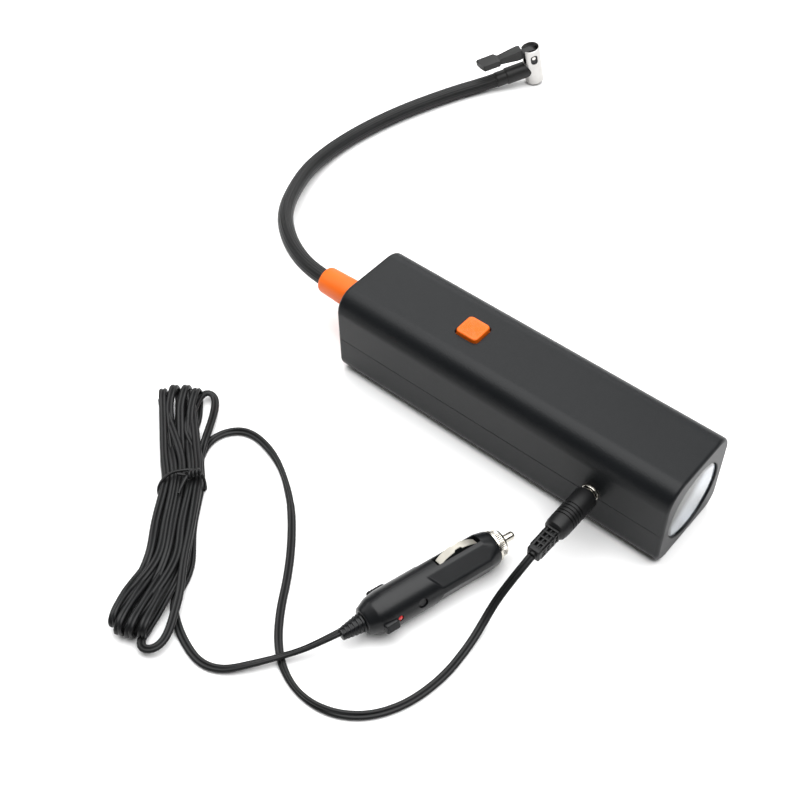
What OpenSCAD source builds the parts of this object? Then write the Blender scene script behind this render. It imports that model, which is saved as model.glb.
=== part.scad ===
// Portable tyre inflator: a hand-held rechargeable air pump with a lamp at one end,
// an air hose with a lever chuck at the other, and a charging lead with a 12 V plug.
// Millimetres. The origin is under the middle of the housing, on the face it stands on.
// +X runs along the housing to the lamp, +Y to the back, +Z up.

/* [Housing] */
// Length of the housing
body_l = 210; // [206:1:214]
// Width of the housing
body_w = 55; // [54.5:0.5:57]
// Height of the housing
body_h = 56; // [55.5:0.5:58]
// Wall thickness of the shells
wall = 2.4; // [2:0.1:2.4]
// Radius of the two long top edges
top_r = 12.5; // [11:0.5:13]
// Radius of the two long bottom edges
bottom_r = 9.5; // [8.5:0.5:10.5]
// Radius of the edges round the two ends
end_r = 2; // [1:0.5:2.5]
// Height of the seam between the two shells
seam_z = 25; // [24:0.5:26]

/* [Lamp] */
// Height of the lamp's centre
lamp_z = 27; // [26.5:0.5:28]
// Radius of the lamp opening
lamp_r = 21.4; // [20:0.2:21.4]

/* [Power button] */
// Distance of the button from the middle of the housing
button_x = -33; // [-36:1:-31]
// Side of the button cap
button_w = 13.6; // [12:0.2:14]
// How far the cap stands proud of the housing
button_proud = 2; // [1.6:0.1:2.4]
// Travel of the button
button_travel = 1.5; // [1:0.1:1.5]

/* [Charging socket] */
// Distance of the charging socket from the middle of the housing
jack_x = 63.2; // [62:0.2:64]
// Height of the charging socket
jack_z = 26.7; // [26.4:0.1:27]
// Outer radius of the charging plug's grip
dc_grip_r = 6.3; // [6:0.1:6.5]
// Length of the charging plug's grip
dc_grip_l = 30; // [28:1:31]

/* [Pump] */
// Distance of the motor axis from the middle of the housing
motor_x = -8; // [-9:0.5:-8]
// Module of the gear pair
gear_module = 0.8; // [0.8:0.1:0.8]
// Teeth of the motor pinion
pinion_teeth = 9; // [9:1:9]
// Teeth of the crank gear
crank_teeth = 36; // [36:1:36]
// Throw of the crank: half of the stroke
crank_throw = 4; // [3:0.5:4]
// Radius of the pump bore
bore_r = 6.5; // [6:0.1:6.5]
// Height of the pump bore's axis
pump_z = 11.3; // [11.2:0.1:11.4]

/* [Air hose] */
// Height of the hose where it leaves the housing
hose_z = 28.5; // [28:0.5:29]
// Outer radius of the air hose
hose_r = 4.85; // [4.6:0.05:4.9]
// Length of the orange hose collar outside the housing
collar_l = 34; // [32:1:36]

/* [Chuck] */
// Length of the chuck's metal sleeve
chuck_l = 28; // [27:0.5:29]
// Outer radius of the sleeve
sleeve_r = 6.45; // [6.4:0.05:6.5]
// Radius of the valve bore in the rubber grommet
valve_r = 3.95; // [3.9:0.05:4]
// Height of the lever's pivot above the foot
pivot_h = 21.8; // [21.6:0.1:22]
// Travel of the piston that squeezes the grommet
piston_travel = 1.3; // [1:0.1:1.3]

/* [Lighter plug] */
// Outer radius of the lighter plug
plug_r = 10.3; // [10.2:0.05:10.4]
// Length of the plug's two shells
plug_l = 76; // [75:0.5:77]
// Width of the twin lead
lead_w = 4.4; // [4:0.1:4.6]
// Thickness of the twin lead
lead_t = 2.3; // [2.2:0.1:2.4]

/* [Hidden] */
$fn = 48;
half_l = body_l / 2;
half_w = body_w / 2;
inner_l = half_l - wall;
inner_w = half_w - wall;
inner_top = body_h - wall;

screw_x = [-97, 92];      // housing screws, along X
screw_y = 20;             // and to each side of the middle
screw_head_z = 13;        // top of the counterbore under each screw
screw_r = 1.5;
boss_r = 3.1;

lens_t = 2.2;
lens_x = half_l - 0.8 - lens_t;   // back face of the lens
cup_back_x = 84;          // back of the reflector
led_hole_r = 4;

button_gap = 0.3;
button_flange = 1.4;
button_top = body_h + button_proud;
board_z = 44;             // underside of the main board
board_t = 1.6;
switch_h = 3.6;
plunger_top = board_z + board_t + switch_h + button_travel + 0.1;
board_x = [-62, -24];
board_half_w = 14;

gear_gap = 0.05;          // extra centre distance of the gear pair
crank_x = motor_x - gear_module * (pinion_teeth + crank_teeth) / 2 - gear_gap;
frame_z = wall;           // the pump frame stands on the lower shell
gear_z = 4.8;
gear_t = 4;
rod_t = 3.4;
plate_z = 14;             // motor plate of the pump frame
plate_t = 2;
can_z = plate_z + plate_t;
can_r = 13.85;
can_h = 32.5;
crank_pin_r = 1.5;
eye_gap = 0.2;
bore_x = crank_x - 16;    // open end of the pump bore
bore_l = 16;
head_x = bore_x - bore_l; // joint between cylinder and head
head_l = 8;
barb_x = head_x - head_l;
piston_t = 5;
hose_start_x = barb_x - 1;

cell_r = 9.2;
cell_x = 9.5;
cell_l = 65;
cells = [[12, 12.6], [12, 31.6], [-9, 11.8]];   // Y and Z of each cell

jack_w = 12;
jack_h = 11;
jack_depth = 14;
jack_r = 2.85;
ring_y = -half_w - 1.1;   // front face of the socket's metal ring
ring_r = 4.9;
grip_y = ring_y - 0.3;    // front face of the charging plug's grip
dc_relief_l = 17.5;
dc_cord_y = grip_y - dc_grip_l - dc_relief_l;

// The chuck's own frame: its foot's centre, turn and lean
chuck_pos = [-183.5, 264.8, 1.24];
chuck_turn = 237;
chuck_lean = 11;
hub_r = 3.7;
ferrule_h = 11.3;
ferrule_l = 20.5;
ferrule_tail_l = 7.5;

// The lighter plug's own frame: +X along it to the tip
plug_pos = [18.5, -147.9, 10.5];
plug_turn = 74;
plug_roll = -20;
relief_l = 12;

// Free routes, chosen by hand, that the hose and the two free stretches of lead follow
hose_route = [
    [hose_start_x, 0, hose_z], [-95, 0, hose_z], [-118, 0, hose_z], [-139, 0, 28.5],
    [-158, 3, 27.5], [-178, 12, 25], [-197, 26, 21], [-210.5, 41, 17], [-223, 61, 12],
    [-233, 84, 8], [-237, 106, 5.8], [-237, 127, 5], [-234, 148, 5], [-229, 170, 5],
    [-222, 192, 5], [-214, 213, 5], [-207, 227.5, 5.3], [-201.5, 237.5, 6.3], [-195.5, 246.8, 8.4]
];
near_route = [
    [63.2, dc_cord_y, 26.7], [62.5, -84, 23], [61, -92, 16.5], [60, -100, 10], [60.5, -109, 4.8],
    [61.5, -118, 2], [62.2, -127, 1.2], [62.7, -139, 1.2], [60.8, -154, 1.2], [56.3, -167.3, 1.2],
    [47.8, -179.8, 1.2], [34.9, -188.6, 1.2], [19.3, -191.2, 1.2], [4, -187, 1.2], [-9, -177.5, 1.2],
    [-20.5, -164, 1.2], [-30.5, -149, 1.2], [-43, -133, 1.2], [-59, -116.5, 1.2], [-77, -103.8, 1.2],
    [-91, -97.6, 1.2], [-105, -95, 1.2], [-115, -97.5, 1.4], [-121, -104.5, 2], [-122.5, -113, 3],
    [-120, -122, 4.5], [-114, -131, 6]
];
far_route = [
    [-63, -192, 5], [-56, -198, 3], [-47, -204, 1.4], [-38, -207.8, 1.2], [-28.5, -209, 1.2],
    [-18.5, -204.8, 1.6], [-9.5, -195, 3.6], [-1, -183, 4.2], [5.5, -173.5, 5.8], [10.5, -165, 8.5],
    [14, -158.5, 10.2], [15.3, -155, 10.5]
];

// Hank: the lead's folded length, an outline on the floor with round ends
hank_h = 14;
hank_r = 10.5;
hank_tie = [-112, -142];
hank_top = [-155, -106];
hank_bend = [-88, -178];
hank_bottom = [-68, -211];

steel = [0.62, 0.63, 0.65];
nickel = [0.80, 0.78, 0.74];
brass = [0.80, 0.66, 0.36];
black = [0.16, 0.165, 0.17];
orange = [1.0, 0.50, 0.16];
rubber = [0.11, 0.11, 0.115];

// ---------- shared shapes ----------

module rounded(x0, x1, y0, y1, r) {
    translate([x0 + r, y0]) square([x1 - x0 - 2 * r, y1 - y0]);
    translate([x0, y0 + r]) square([x1 - x0, y1 - y0 - 2 * r]);
    for (x = [x0 + r, x1 - r], y = [y0 + r, y1 - r]) translate([x, y]) circle(r);
}

// Cross-section of the housing, moved in by inset
module section(inset) {
    w = half_w - inset;
    top = body_h - inset;
    tr = top_r - inset;
    br = bottom_r - inset;
    translate([-w, inset + br]) square([2 * w, top - tr - inset - br]);
    translate([tr - w, body_h / 2]) square([2 * (w - tr), top - body_h / 2]);
    translate([br - w, inset]) square([2 * (w - br), body_h / 2 - inset]);
    for (s = [-1, 1]) {
        translate([s * (w - tr), top - tr]) circle(tr);
        translate([s * (w - br), inset + br]) circle(br);
    }
}

// Extrudes a Y-Z sketch along X between two places
module along_x(x0, x1) {
    translate([x0, 0, 0]) rotate([90, 0, 90]) linear_extrude(x1 - x0) children();
}

module rod_x(x0, x1, r, y = 0, z = 0) {
    translate([x0, y, z]) rotate([0, 90, 0]) cylinder(h = x1 - x0, r = r);
}

module rod_y(y0, y1, r, x = 0, z = 0) {
    translate([x, y1, z]) rotate([90, 0, 0]) cylinder(h = y1 - y0, r = r);
}

module rod_z(z0, z1, r, x = 0, y = 0) {
    translate([x, y, z0]) cylinder(h = z1 - z0, r = r);
}

module block(low, high) {
    translate(low) cube(high - low);
}

// Revolves a sketch of [distance along X, radius] round the X axis
module turned_x(points, y = 0, z = 0) {
    translate([0, y, z]) rotate([0, 90, 0]) rotate_extrude()
        polygon([for (p = points) [p[1], p[0]]]);
}

// Involute gear outline
function flank_turn(base, r) = let (t = sqrt(max(pow(r / base, 2) - 1, 0))) t * 180 / PI - atan(t);
function polar(r, a) = [r * cos(a), r * sin(a)];
function gear_points(teeth, add, ded, thin) =
    let (pitch = teeth * gear_module / 2, base = pitch * cos(20), root = pitch - ded, low = max(base, root),
         half = 90 / teeth - thin / pitch * 180 / PI + flank_turn(base, pitch),
         radii = [for (k = [0:4]) low + (pitch + add - low) * k / 4])
    [for (i = [0:teeth - 1]) let (a = 360 * i / teeth) each concat(
        [polar(root, a - half)],
        [for (r = radii) polar(r, a - half + flank_turn(base, r))],
        [for (k = [4:-1:0]) polar(radii[k], a + half - flank_turn(base, radii[k]))],
        [polar(root, a + half)])];

// A tube swept through a route: rings of an ellipse, wide across the route and thick in height
function unit(v) = v / norm(v);
function heading(route, i) = unit(route[min(i + 1, len(route) - 1)] - route[max(i - 1, 0)]);
function ring(route, i, half_wide, half_thick, sides) =
    let (along = heading(route, i), across = unit(cross(along, [0, 0, 1])), up = cross(across, along))
    [for (k = [0:sides - 1]) let (a = 360 * (k + 0.5) / sides)
        route[i] + across * half_wide * cos(a) + up * half_thick * sin(a)];

module sweep(route, half_wide, half_thick, sides) {
    n = len(route);
    points = [for (i = [0:n - 1]) each ring(route, i, half_wide, half_thick, sides)];
    walls = [for (i = [0:n - 2], k = [0:sides - 1]) let (a = i * sides + k, b = i * sides + (k + 1) % sides)
        each [[a, a + sides, b + sides], [a, b + sides, b]]];
    ends = [[for (k = [0:sides - 1]) k], [for (k = [sides - 1:-1:0]) (n - 1) * sides + k]];
    polyhedron(points, concat(walls, ends));
}

// ---------- housing ----------

module envelope() {
    intersection() {
        along_x(-half_l, half_l) section(0);
        linear_extrude(body_h) rounded(-half_l, half_l, -half_w, half_w, end_r);
        translate([0, half_w, 0]) rotate([90, 0, 0]) linear_extrude(body_w)
            rounded(-half_l, half_l, 0, body_h, end_r);
    }
}

module housing_holes() {
    along_x(-inner_l, inner_l) section(wall);
    rod_x(inner_l - 1, half_l + 1, lamp_r, 0, lamp_z);
    rod_x(-half_l - 1, 1 - inner_l, 9.05, 0, hose_z);
    rod_y(-half_w - 1, 1 - inner_w, ring_r + 0.1, jack_x, jack_z);
}

module screw_places() {
    for (x = screw_x, y = [-screw_y, screw_y]) translate([x, y, 0]) children();
}

module button_hole() {
    half = button_w / 2 + button_gap;
    translate([button_x, 0, inner_top - 1]) linear_extrude(wall + 2)
        rounded(-half, half, -half, half, 3.1);
}

module board_posts() {
    for (x = [board_x[0] + 3, board_x[1] - 3], y = [-11, 11]) translate([x, y, 0]) children();
}

module upper_housing() {
    color(black) difference() {
        union() {
            difference() {
                intersection() {
                    envelope();
                    block([-half_l, -half_w, seam_z], [half_l, half_w, body_h]);
                }
                housing_holes();
            }
            intersection() {
                union() {
                    screw_places() rod_z(seam_z, body_h - 1, boss_r);
                    board_posts() rod_z(board_z + board_t, body_h - 1, 2.5);
                }
                along_x(-inner_l - 1, inner_l + 1) section(1);
            }
        }
        button_hole();
        screw_places() rod_z(seam_z - 1, seam_z + 11, screw_r - 0.05);
        board_posts() rod_z(board_z, board_z + 7, 0.95);
    }
}

module lower_housing() {
    color(black) difference() {
        union() {
            difference() {
                intersection() {
                    envelope();
                    block([-half_l, -half_w, 0], [half_l, half_w, seam_z]);
                }
                housing_holes();
            }
            intersection() {
                screw_places() rod_z(1, seam_z, boss_r + 0.9);
                along_x(-inner_l - 1, inner_l + 1) section(1);
            }
        }
        screw_places() rod_z(-1, screw_head_z, 2.9);
        screw_places() rod_z(0, seam_z + 1, screw_r + 0.2);
    }
}

module housing_screws() {
    color(steel) screw_places() difference() {
        union() {
            rod_z(screw_head_z - 2, screw_head_z, 2.7);
            rod_z(screw_head_z, seam_z + 9, screw_r);
        }
        for (turn = [0, 90]) rotate([0, 0, turn])
            block([-1.5, -0.35, screw_head_z - 3], [1.5, 0.35, screw_head_z - 0.9]);
    }
}

// ---------- lamp ----------

module lens() {
    color([0.85, 0.9, 0.95, 0.5]) rod_x(lens_x, lens_x + lens_t, lamp_r - 0.3, 0, lamp_z);
}

module reflector() {
    depth = lens_x - cup_back_x;
    mouth = lamp_r - 1.2;
    curve = [for (k = [0:8]) let (r = led_hole_r + (mouth - led_hole_r) * k / 8)
        [cup_back_x + 1 + (depth - 1) * (pow(r, 2) - pow(led_hole_r, 2))
            / (pow(mouth, 2) - pow(led_hole_r, 2)), r]];
    outside = [for (p = curve) [p[0] - 1, p[1] + 1.2]];
    color([0.86, 0.88, 0.92]) turned_x(concat(
        curve,
        [[lens_x, lamp_r + 1.1], [lens_x - 1.6, lamp_r + 1.1]],
        [for (k = [7:-1:0]) outside[k]],
        [[cup_back_x, led_hole_r]]), 0, lamp_z);
}

module led_board() {
    color("seagreen") rod_x(cup_back_x - 1.6, cup_back_x, 10, 0, lamp_z);
}

module led_emitter() {
    color("khaki") {
        block([cup_back_x, -2.5, lamp_z - 2.5], [cup_back_x + 1, 2.5, lamp_z + 2.5]);
        turned_x([[cup_back_x + 1, 0], [cup_back_x + 1, 2], [cup_back_x + 2, 1.7], [cup_back_x + 2.8, 0.9],
            [cup_back_x + 3, 0]], 0, lamp_z);
    }
}

// ---------- power button and main board ----------

module power_button() {
    half = button_w / 2;
    color(orange) {
        translate([button_x, 0, inner_top - 0.1]) linear_extrude(button_top - inner_top + 0.1)
            rounded(-half, half, -half, half, 2.8);
        translate([button_x, 0, inner_top - 0.1 - button_flange]) linear_extrude(button_flange)
            rounded(-half - 1.2, half + 1.2, -half - 1.2, half + 1.2, 3);
        rod_z(plunger_top, inner_top - 0.1 - button_flange, 3, button_x, 0);
    }
}

module switch_plunger() {
    color("dimgray") rod_z(plunger_top - 3.4, plunger_top, 1.6, button_x, 0);
}

module switch_body() {
    low = board_z + board_t;
    color("gray") difference() {
        block([button_x - 3.7, -3.7, low], [button_x + 3.7, 3.7, low + switch_h]);
        rod_z(low + 0.2, low + switch_h + 1, 1.68, button_x, 0);
    }
}

module main_board() {
    color("darkgreen") {
        difference() {
            block([board_x[0], -board_half_w, board_z], [board_x[1], board_half_w, board_z + board_t]);
            board_posts() rod_z(board_z - 1, board_z + board_t + 1, 1.2);
        }
        block([board_x[0] + 8, -5, board_z - 1.6], [board_x[0] + 15, 2, board_z]);
        block([board_x[0] + 18, 3, board_z - 1.2], [board_x[0] + 23, 7, board_z]);
        rod_z(board_z - 7, board_z, 3.1, board_x[0] + 14, -9.5);
        rod_z(board_z - 7, board_z, 3.1, board_x[0] + 14, 9.5);
    }
}

module board_screws() {
    color(steel) board_posts() {
        rod_z(board_z - 1.4, board_z, 1.9);
        rod_z(board_z, board_z + 6, 1);
    }
}

// ---------- charging socket ----------

module dc_jack() {
    color(black) difference() {
        block([jack_x - jack_w / 2, -inner_w, jack_z - jack_h / 2],
            [jack_x + jack_w / 2, jack_depth - inner_w, jack_z + jack_h / 2]);
        rod_y(-inner_w - 1, -inner_w + 10, jack_r, jack_x, jack_z);
    }
}

module dc_jack_ring() {
    color(nickel) difference() {
        rod_y(ring_y, -inner_w, ring_r, jack_x, jack_z);
        rod_y(ring_y - 1, 1 - inner_w, jack_r, jack_x, jack_z);
    }
}

module jack_pin() {
    color(nickel) rod_y(-inner_w + 1, -inner_w + 10, 1.05, jack_x, jack_z);
}

// ---------- motor ----------

module motor_can() {
    color(steel) difference() {
        union() {
            rod_z(can_z, can_z + can_h, can_r, motor_x, 0);
            rod_z(plate_z, can_z, 4, motor_x, 0);
        }
        rod_z(can_z + 1.2, can_z + can_h + 1, can_r - 1.2, motor_x, 0);
        rod_z(plate_z - 1, can_z + 2, 1.2, motor_x, 0);
    }
}

module motor_magnets() {
    color("dimgray") difference() {
        rod_z(can_z + 4, can_z + can_h - 6, can_r - 1.2, motor_x, 0);
        rod_z(can_z + 3, can_z + can_h - 5, 10.4, motor_x, 0);
        for (s = [-1, 1]) translate([motor_x, s * can_r, 0])
            block([-4, -6, can_z + 3], [4, 6, can_z + can_h - 5]);
    }
}

module motor_rotor() {
    color("peru") difference() {
        union() {
            rod_z(can_z + 5, can_z + can_h - 8, 10, motor_x, 0);
            rod_z(can_z + can_h - 8, can_z + can_h - 2, 3.5, motor_x, 0);
        }
        for (turn = [0:120:240]) translate([motor_x, 0, 0]) rotate([0, 0, turn])
            block([7.2, -1, can_z + 4], [11, 1, can_z + can_h - 9]);
        rod_z(can_z + 4, can_z + can_h, 1.15, motor_x, 0);
    }
}

module motor_shaft() {
    color(steel) rod_z(gear_z - 0.4, can_z + can_h + 1.4, 1.15, motor_x, 0);
}

module motor_pinion() {
    color(brass) translate([motor_x, 0, gear_z - 0.2]) difference() {
        linear_extrude(gear_t + 0.4) polygon(gear_points(pinion_teeth, 0.8 * gear_module, 1.1 * gear_module, 0.05));
        rod_z(-1, gear_t + 2, 1.15);
    }
}

module motor_end_cap() {
    low = can_z + can_h;
    color("ivory") difference() {
        union() {
            rod_z(low, low + 2.4, can_r - 0.3, motor_x, 0);
            for (s = [-1, 1]) block([motor_x + s * 8 - 1, -1.5, low + 2.4], [motor_x + s * 8 + 1, 1.5, low + 4.6]);
        }
        rod_z(low - 1, low + 4, 1.2, motor_x, 0);
    }
}

// ---------- pump ----------

module pump_frame() {
    left = head_x + 2;
    right = motor_x + 15;
    color([0.72, 0.73, 0.75]) difference() {
        union() {
            block([crank_x - 12, -17, frame_z], [right, 17, frame_z + 1.6]);
            block([crank_x - 12, -17, plate_z], [right, 17, plate_z + plate_t]);
            for (y = [-19, 17]) block([crank_x - 12, y, frame_z], [right, y + 2, plate_z + plate_t]);
            block([left, -12, frame_z], [crank_x - 12, -9, pump_z]);
            block([left, 9, frame_z], [crank_x - 12, 12, pump_z]);
        }
        rod_z(plate_z - 1, can_z + 1, 4, motor_x, 0);
        rod_z(frame_z - 1, frame_z + 3, 2, crank_x, 0);
        rod_x(left - 1, bore_x, 9, 0, pump_z);
    }
}

module crank_axle() {
    color(steel) rod_z(frame_z, gear_z + gear_t + 0.3, 2, crank_x, 0);
}

module crank_gear() {
    color("whitesmoke") translate([crank_x, 0, gear_z]) difference() {
        linear_extrude(gear_t) polygon(gear_points(crank_teeth, 0.5 * gear_module, 1.2 * gear_module, 0.05));
        rod_z(-1, gear_t + 1, 3.2);
        rod_z(1, gear_t + 1, crank_pin_r, crank_throw, 0);
        for (turn = [60, 180, 300]) rotate([0, 0, turn]) rod_z(-1, gear_t + 1, 2.6, 9.4, 0);
    }
}

module crank_bush() {
    color(brass) difference() {
        rod_z(gear_z, gear_z + gear_t, 3.2, crank_x, 0);
        rod_z(gear_z - 1, gear_z + gear_t + 1, 2.04, crank_x, 0);
        rod_z(gear_z + 1, gear_z + gear_t + 1, crank_pin_r, crank_x + crank_throw, 0);
    }
}

module crank_pin() {
    color(steel) rod_z(gear_z + 1, pump_z + rod_t / 2 + 0.4, crank_pin_r, crank_x + crank_throw, 0);
}

// The eye round the crank pin is lengthened, so that rod and crank can each move alone
module piston_rod() {
    reach = crank_throw + crank_pin_r + eye_gap;
    left = crank_x - reach;
    right = crank_x + reach + 2 * crank_throw;
    low = pump_z - rod_t / 2;
    high = pump_z + rod_t / 2;
    color([0.75, 0.76, 0.78]) {
        difference() {
            block([left - 1.6, -reach - 1.6, low], [right + 1.6, reach + 1.6, high]);
            block([left, -reach, low - 1], [right, reach, high + 1]);
        }
        block([bore_x - 2, -2.5, low], [left - 1.6, 2.5, high]);
    }
}

module piston_cup() {
    color(rubber) {
        rod_x(bore_x - 2 - piston_t, bore_x - 2, bore_r - 0.06, 0, pump_z);
    }
}

module pump_cylinder() {
    color("silver") difference() {
        union() {
            rod_x(head_x, bore_x, 8.8, 0, pump_z);
            for (k = [0:3]) rod_x(head_x + 2 + 3.4 * k, head_x + 3.2 + 3.4 * k, 8.9, 0, pump_z);
        }
        rod_x(head_x - 1, bore_x + 1, bore_r, 0, pump_z);
    }
}

module cylinder_head() {
    color([0.72, 0.73, 0.75]) difference() {
        union() {
            block([barb_x, -8.5, frame_z + 0.2], [head_x, 8.5, 21]);
            block([barb_x, -6, 21], [head_x, 6, hose_z + 6]);
        }
        rod_x(head_x - 2, head_x + 1, 2, 0, pump_z);
        rod_z(pump_z - 1, hose_z, 1.6, head_x - 3.2, 0);
        rod_x(barb_x - 1, head_x - 3.2, 2.4, 0, hose_z);
    }
}

module hose_barb() {
    color(brass) difference() {
        union() {
            rod_x(barb_x - 1, barb_x + 3, 2.4, 0, hose_z);
            rod_x(barb_x - 1, barb_x, 4, 0, hose_z);
            for (k = [0:3]) turned_x([[barb_x - 4 - 3 * k, 0], [barb_x - 4 - 3 * k, 2.1],
                [barb_x - 1 - 3 * k, 2.8], [barb_x - 1 - 3 * k, 0]], 0, hose_z);
        }
        rod_x(barb_x - 20, barb_x + 4, 1.2, 0, hose_z);
    }
}

// ---------- battery ----------

module battery_cells() {
    color("mediumseagreen") for (c = cells) {
        rod_x(cell_x, cell_x + cell_l, cell_r, c[0], c[1]);
    }
}

module battery_holder() {
    color("dimgray") difference() {
        union() {
            for (x = [cell_x - 1.6, cell_x + cell_l]) {
                block([x, -18, frame_z + 0.1], [x + 1.6, 21, 21]);
                block([x, 2, 20], [x + 1.6, 21, 42]);
            }
            block([cell_x, -0.4, frame_z + 0.1], [cell_x + cell_l, 2.4, 5]);
        }
        for (c = cells) {
            rod_x(cell_x - 3, cell_x + cell_l + 3, 4, c[0], c[1]);
            rod_x(cell_x, cell_x + cell_l, cell_r + 0.2, c[0], c[1]);
        }
    }
}

// ---------- air hose and chuck ----------

module hose_collar() {
    out = -half_l - collar_l;
    bore = hose_r + 0.15;
    color(orange) turned_x([
        [-inner_l + 1.8, bore], [-inner_l + 1.8, 11.4], [-inner_l, 11.4], [-inner_l, 9],
        [-half_l, 9], [out + 1.4, 7.9], [out + 0.4, 7.5], [out, 6.7], [out, bore]
    ], 0, hose_z);
}

module air_hose() {
    color(rubber) sweep(hose_route, hose_r, hose_r, 12);
}

module chuck_frame() {
    translate(chuck_pos) rotate([0, 0, chuck_turn]) rotate([0, chuck_lean, 0]) children();
}

module hose_ferrule() {
    color(black) chuck_frame() difference() {
        union() {
            rod_x(0, ferrule_l, 5.85, 0, ferrule_h);
            rod_x(ferrule_l, ferrule_l + ferrule_tail_l, hose_r + 0.45, 0, ferrule_h);
        }
        rod_z(-1, chuck_l, sleeve_r + 0.02);
        rod_x(sleeve_r + 6, ferrule_l + ferrule_tail_l + 1, hose_r + 0.1, 0, ferrule_h);
        rod_x(0, ferrule_l, 1.2, 0, ferrule_h);
    }
}

module chuck_sleeve() {
    inner = sleeve_r - 0.65;
    color([0.86, 0.86, 0.85]) chuck_frame() difference() {
        rod_z(0, chuck_l, sleeve_r);
        rod_z(0.8, chuck_l + 1, inner);
        rod_z(-1, 1, valve_r + 0.5);
        rod_x(0, sleeve_r + 1, 3, 0, ferrule_h);
        block([0, -4.2, 18], [sleeve_r + 1, 4.2, chuck_l + 1]);
        for (dz = [-1.9, 0.1]) rod_y(-sleeve_r - 1, sleeve_r + 1, 2.5, 0, pivot_h + dz);
    }
}

module chuck_core() {
    inner = sleeve_r - 0.68;
    color(black) chuck_frame() difference() {
        union() {
            rod_z(9.4, 16, inner);
            difference() {
                rod_z(16, 25.3, inner);
                block([-7, -2.75, 15], [7, 2.75, 26]);
            }
        }
        rod_z(9, 18.4, 3.1);
        rod_x(2, sleeve_r, 1.2, 0, ferrule_h);
        rod_y(-sleeve_r, sleeve_r, 1.25, 0, pivot_h);
    }
}

module chuck_grommet() {
    color(rubber) chuck_frame() difference() {
        rod_z(0.8, 5.6, sleeve_r - 0.7);
        rod_z(0, 7, valve_r);
    }
}

module chuck_piston() {
    color(brass) chuck_frame() {
        difference() {
            union() {
                rod_z(7.4, 8.8, 5.4);
                rod_z(8.8, pivot_h - hub_r - 0.2, 3);
            }
            rod_z(7, 13, 1.6);
            rod_x(0, 4, 0.9, 0, ferrule_h);
        }
        rod_z(7.2, 13, 0.9);
        rod_z(12.5, 13.5, 1.7);
    }
}

module chuck_pin() {
    color(nickel) chuck_frame() rod_y(-5.6, 5.6, 1.22, 0, pivot_h);
}

// Flat along the hose at rest; the cam's high side points away from the hose and swings down when it's lifted
module chuck_lever() {
    color(black) chuck_frame() difference() {
        union() {
            rod_y(-2.6, 2.6, hub_r, 0, pivot_h);
            intersection() {
                rod_y(-2.6, 2.6, hub_r + piston_travel, 0, pivot_h);
                block([-6, -3, pivot_h], [0, 3, pivot_h + 6]);
            }
            block([0, -2.6, pivot_h], [7, 2.6, pivot_h + 4.8]);
            block([7, -3.6, 24.6], [10, 3.6, 28.6]);
            translate([0, 0, 24.8]) linear_extrude(3.8)
                polygon([[10, -3.6], [24, -2.5], [24, 2.5], [10, 3.6]]);
            translate([24, 0, 25.2]) linear_extrude(3.8) rounded(0, 14, -4.5, 4.5, 1.5);
        }
        rod_y(-4, 4, 1.3, 0, pivot_h);
    }
}

// ---------- charging lead ----------

module dc_plug_grip() {
    back = grip_y - dc_grip_l;
    color(black) difference() {
        union() {
            rod_y(back + 1.5, grip_y, dc_grip_r, jack_x, jack_z);
            rod_y(back, back + 1.5, dc_grip_r - 1, jack_x, jack_z);
        }
        for (k = [0:4]) difference() {
            rod_y(back + 4 + 2.6 * k, back + 5 + 2.6 * k, dc_grip_r + 1, jack_x, jack_z);
            rod_y(back + 3 + 2.6 * k, back + 6 + 2.6 * k, dc_grip_r - 0.5, jack_x, jack_z);
        }
    }
}

module dc_plug_barrel() {
    color(nickel) difference() {
        rod_y(grip_y, grip_y + 9.5, 2.75, jack_x, jack_z);
        rod_y(grip_y + 0.5, grip_y + 10, 1.25, jack_x, jack_z);
    }
}

module dc_plug_relief() {
    back = grip_y - dc_grip_l;
    front_w = 9.5;
    step = 3.3;
    color(black) difference() {
        union() {
            block([jack_x - front_w / 2, back - dc_relief_l + 3, jack_z - front_w / 2],
                [jack_x + front_w / 2, back, jack_z + front_w / 2]);
            rod_y(dc_cord_y, back - dc_relief_l + 3, 4.6, jack_x, jack_z);
        }
        for (k = [1:4], s = [-1, 1]) {
            y = back - 0.9 - step * k;
            block([jack_x - 6, y, jack_z + s * 2.4 - 1.4], [jack_x + 6, y + 2.1, jack_z + s * 2.4 + 1.4]);
            block([jack_x + s * 3.2 - 1.4, y, jack_z - 6], [jack_x + s * 3.2 + 1.4, y + 2.1, jack_z + 6]);
        }
    }
}

module power_cord_near() {
    color(rubber) sweep(near_route, lead_w / 2, lead_t / 2, 8);
}

module power_cord_far() {
    color(rubber) sweep(far_route, lead_w / 2, lead_t / 2, 8);
}

function way(a, b) = atan2(b[1] - a[1], b[0] - a[0]);
function around(c, r, a) = c + r * [cos(a), sin(a)];
function arc(c, r, a) = [for (k = [-6:6]) around(c, r, a + 15 * k)];

// One closed outline round the hank: a round end, two bends and the other round end
function hank_outline() =
    let (up = way(hank_tie, hank_top), mid = way(hank_bend, hank_tie), low = way(hank_bottom, hank_bend),
         at_tie = (up + mid) / 2, at_bend = (mid + low) / 2)
    concat(
        arc(hank_top, hank_r, up),
        [around(hank_tie, hank_r, at_tie + 90), around(hank_bend, hank_r, at_bend + 90)],
        arc(hank_bottom, hank_r + 1.5, low + 180),
        [around(hank_bend, hank_r, at_bend - 90), around(hank_tie, hank_r, at_tie - 90)]);

module tie_frame() {
    translate([hank_tie[0], hank_tie[1], 0]) rotate([0, 0, way(hank_bend, hank_top)]) children();
}

module cord_hank() {
    color(rubber) difference() {
        linear_extrude(hank_h) polygon(hank_outline());
        tie_frame() difference() {
            block([-1, -20, -1], [1, 20, 20]);
            block([-2, -9.5, 0.8], [2, 9.5, 12.4]);
        }
    }
}

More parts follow.
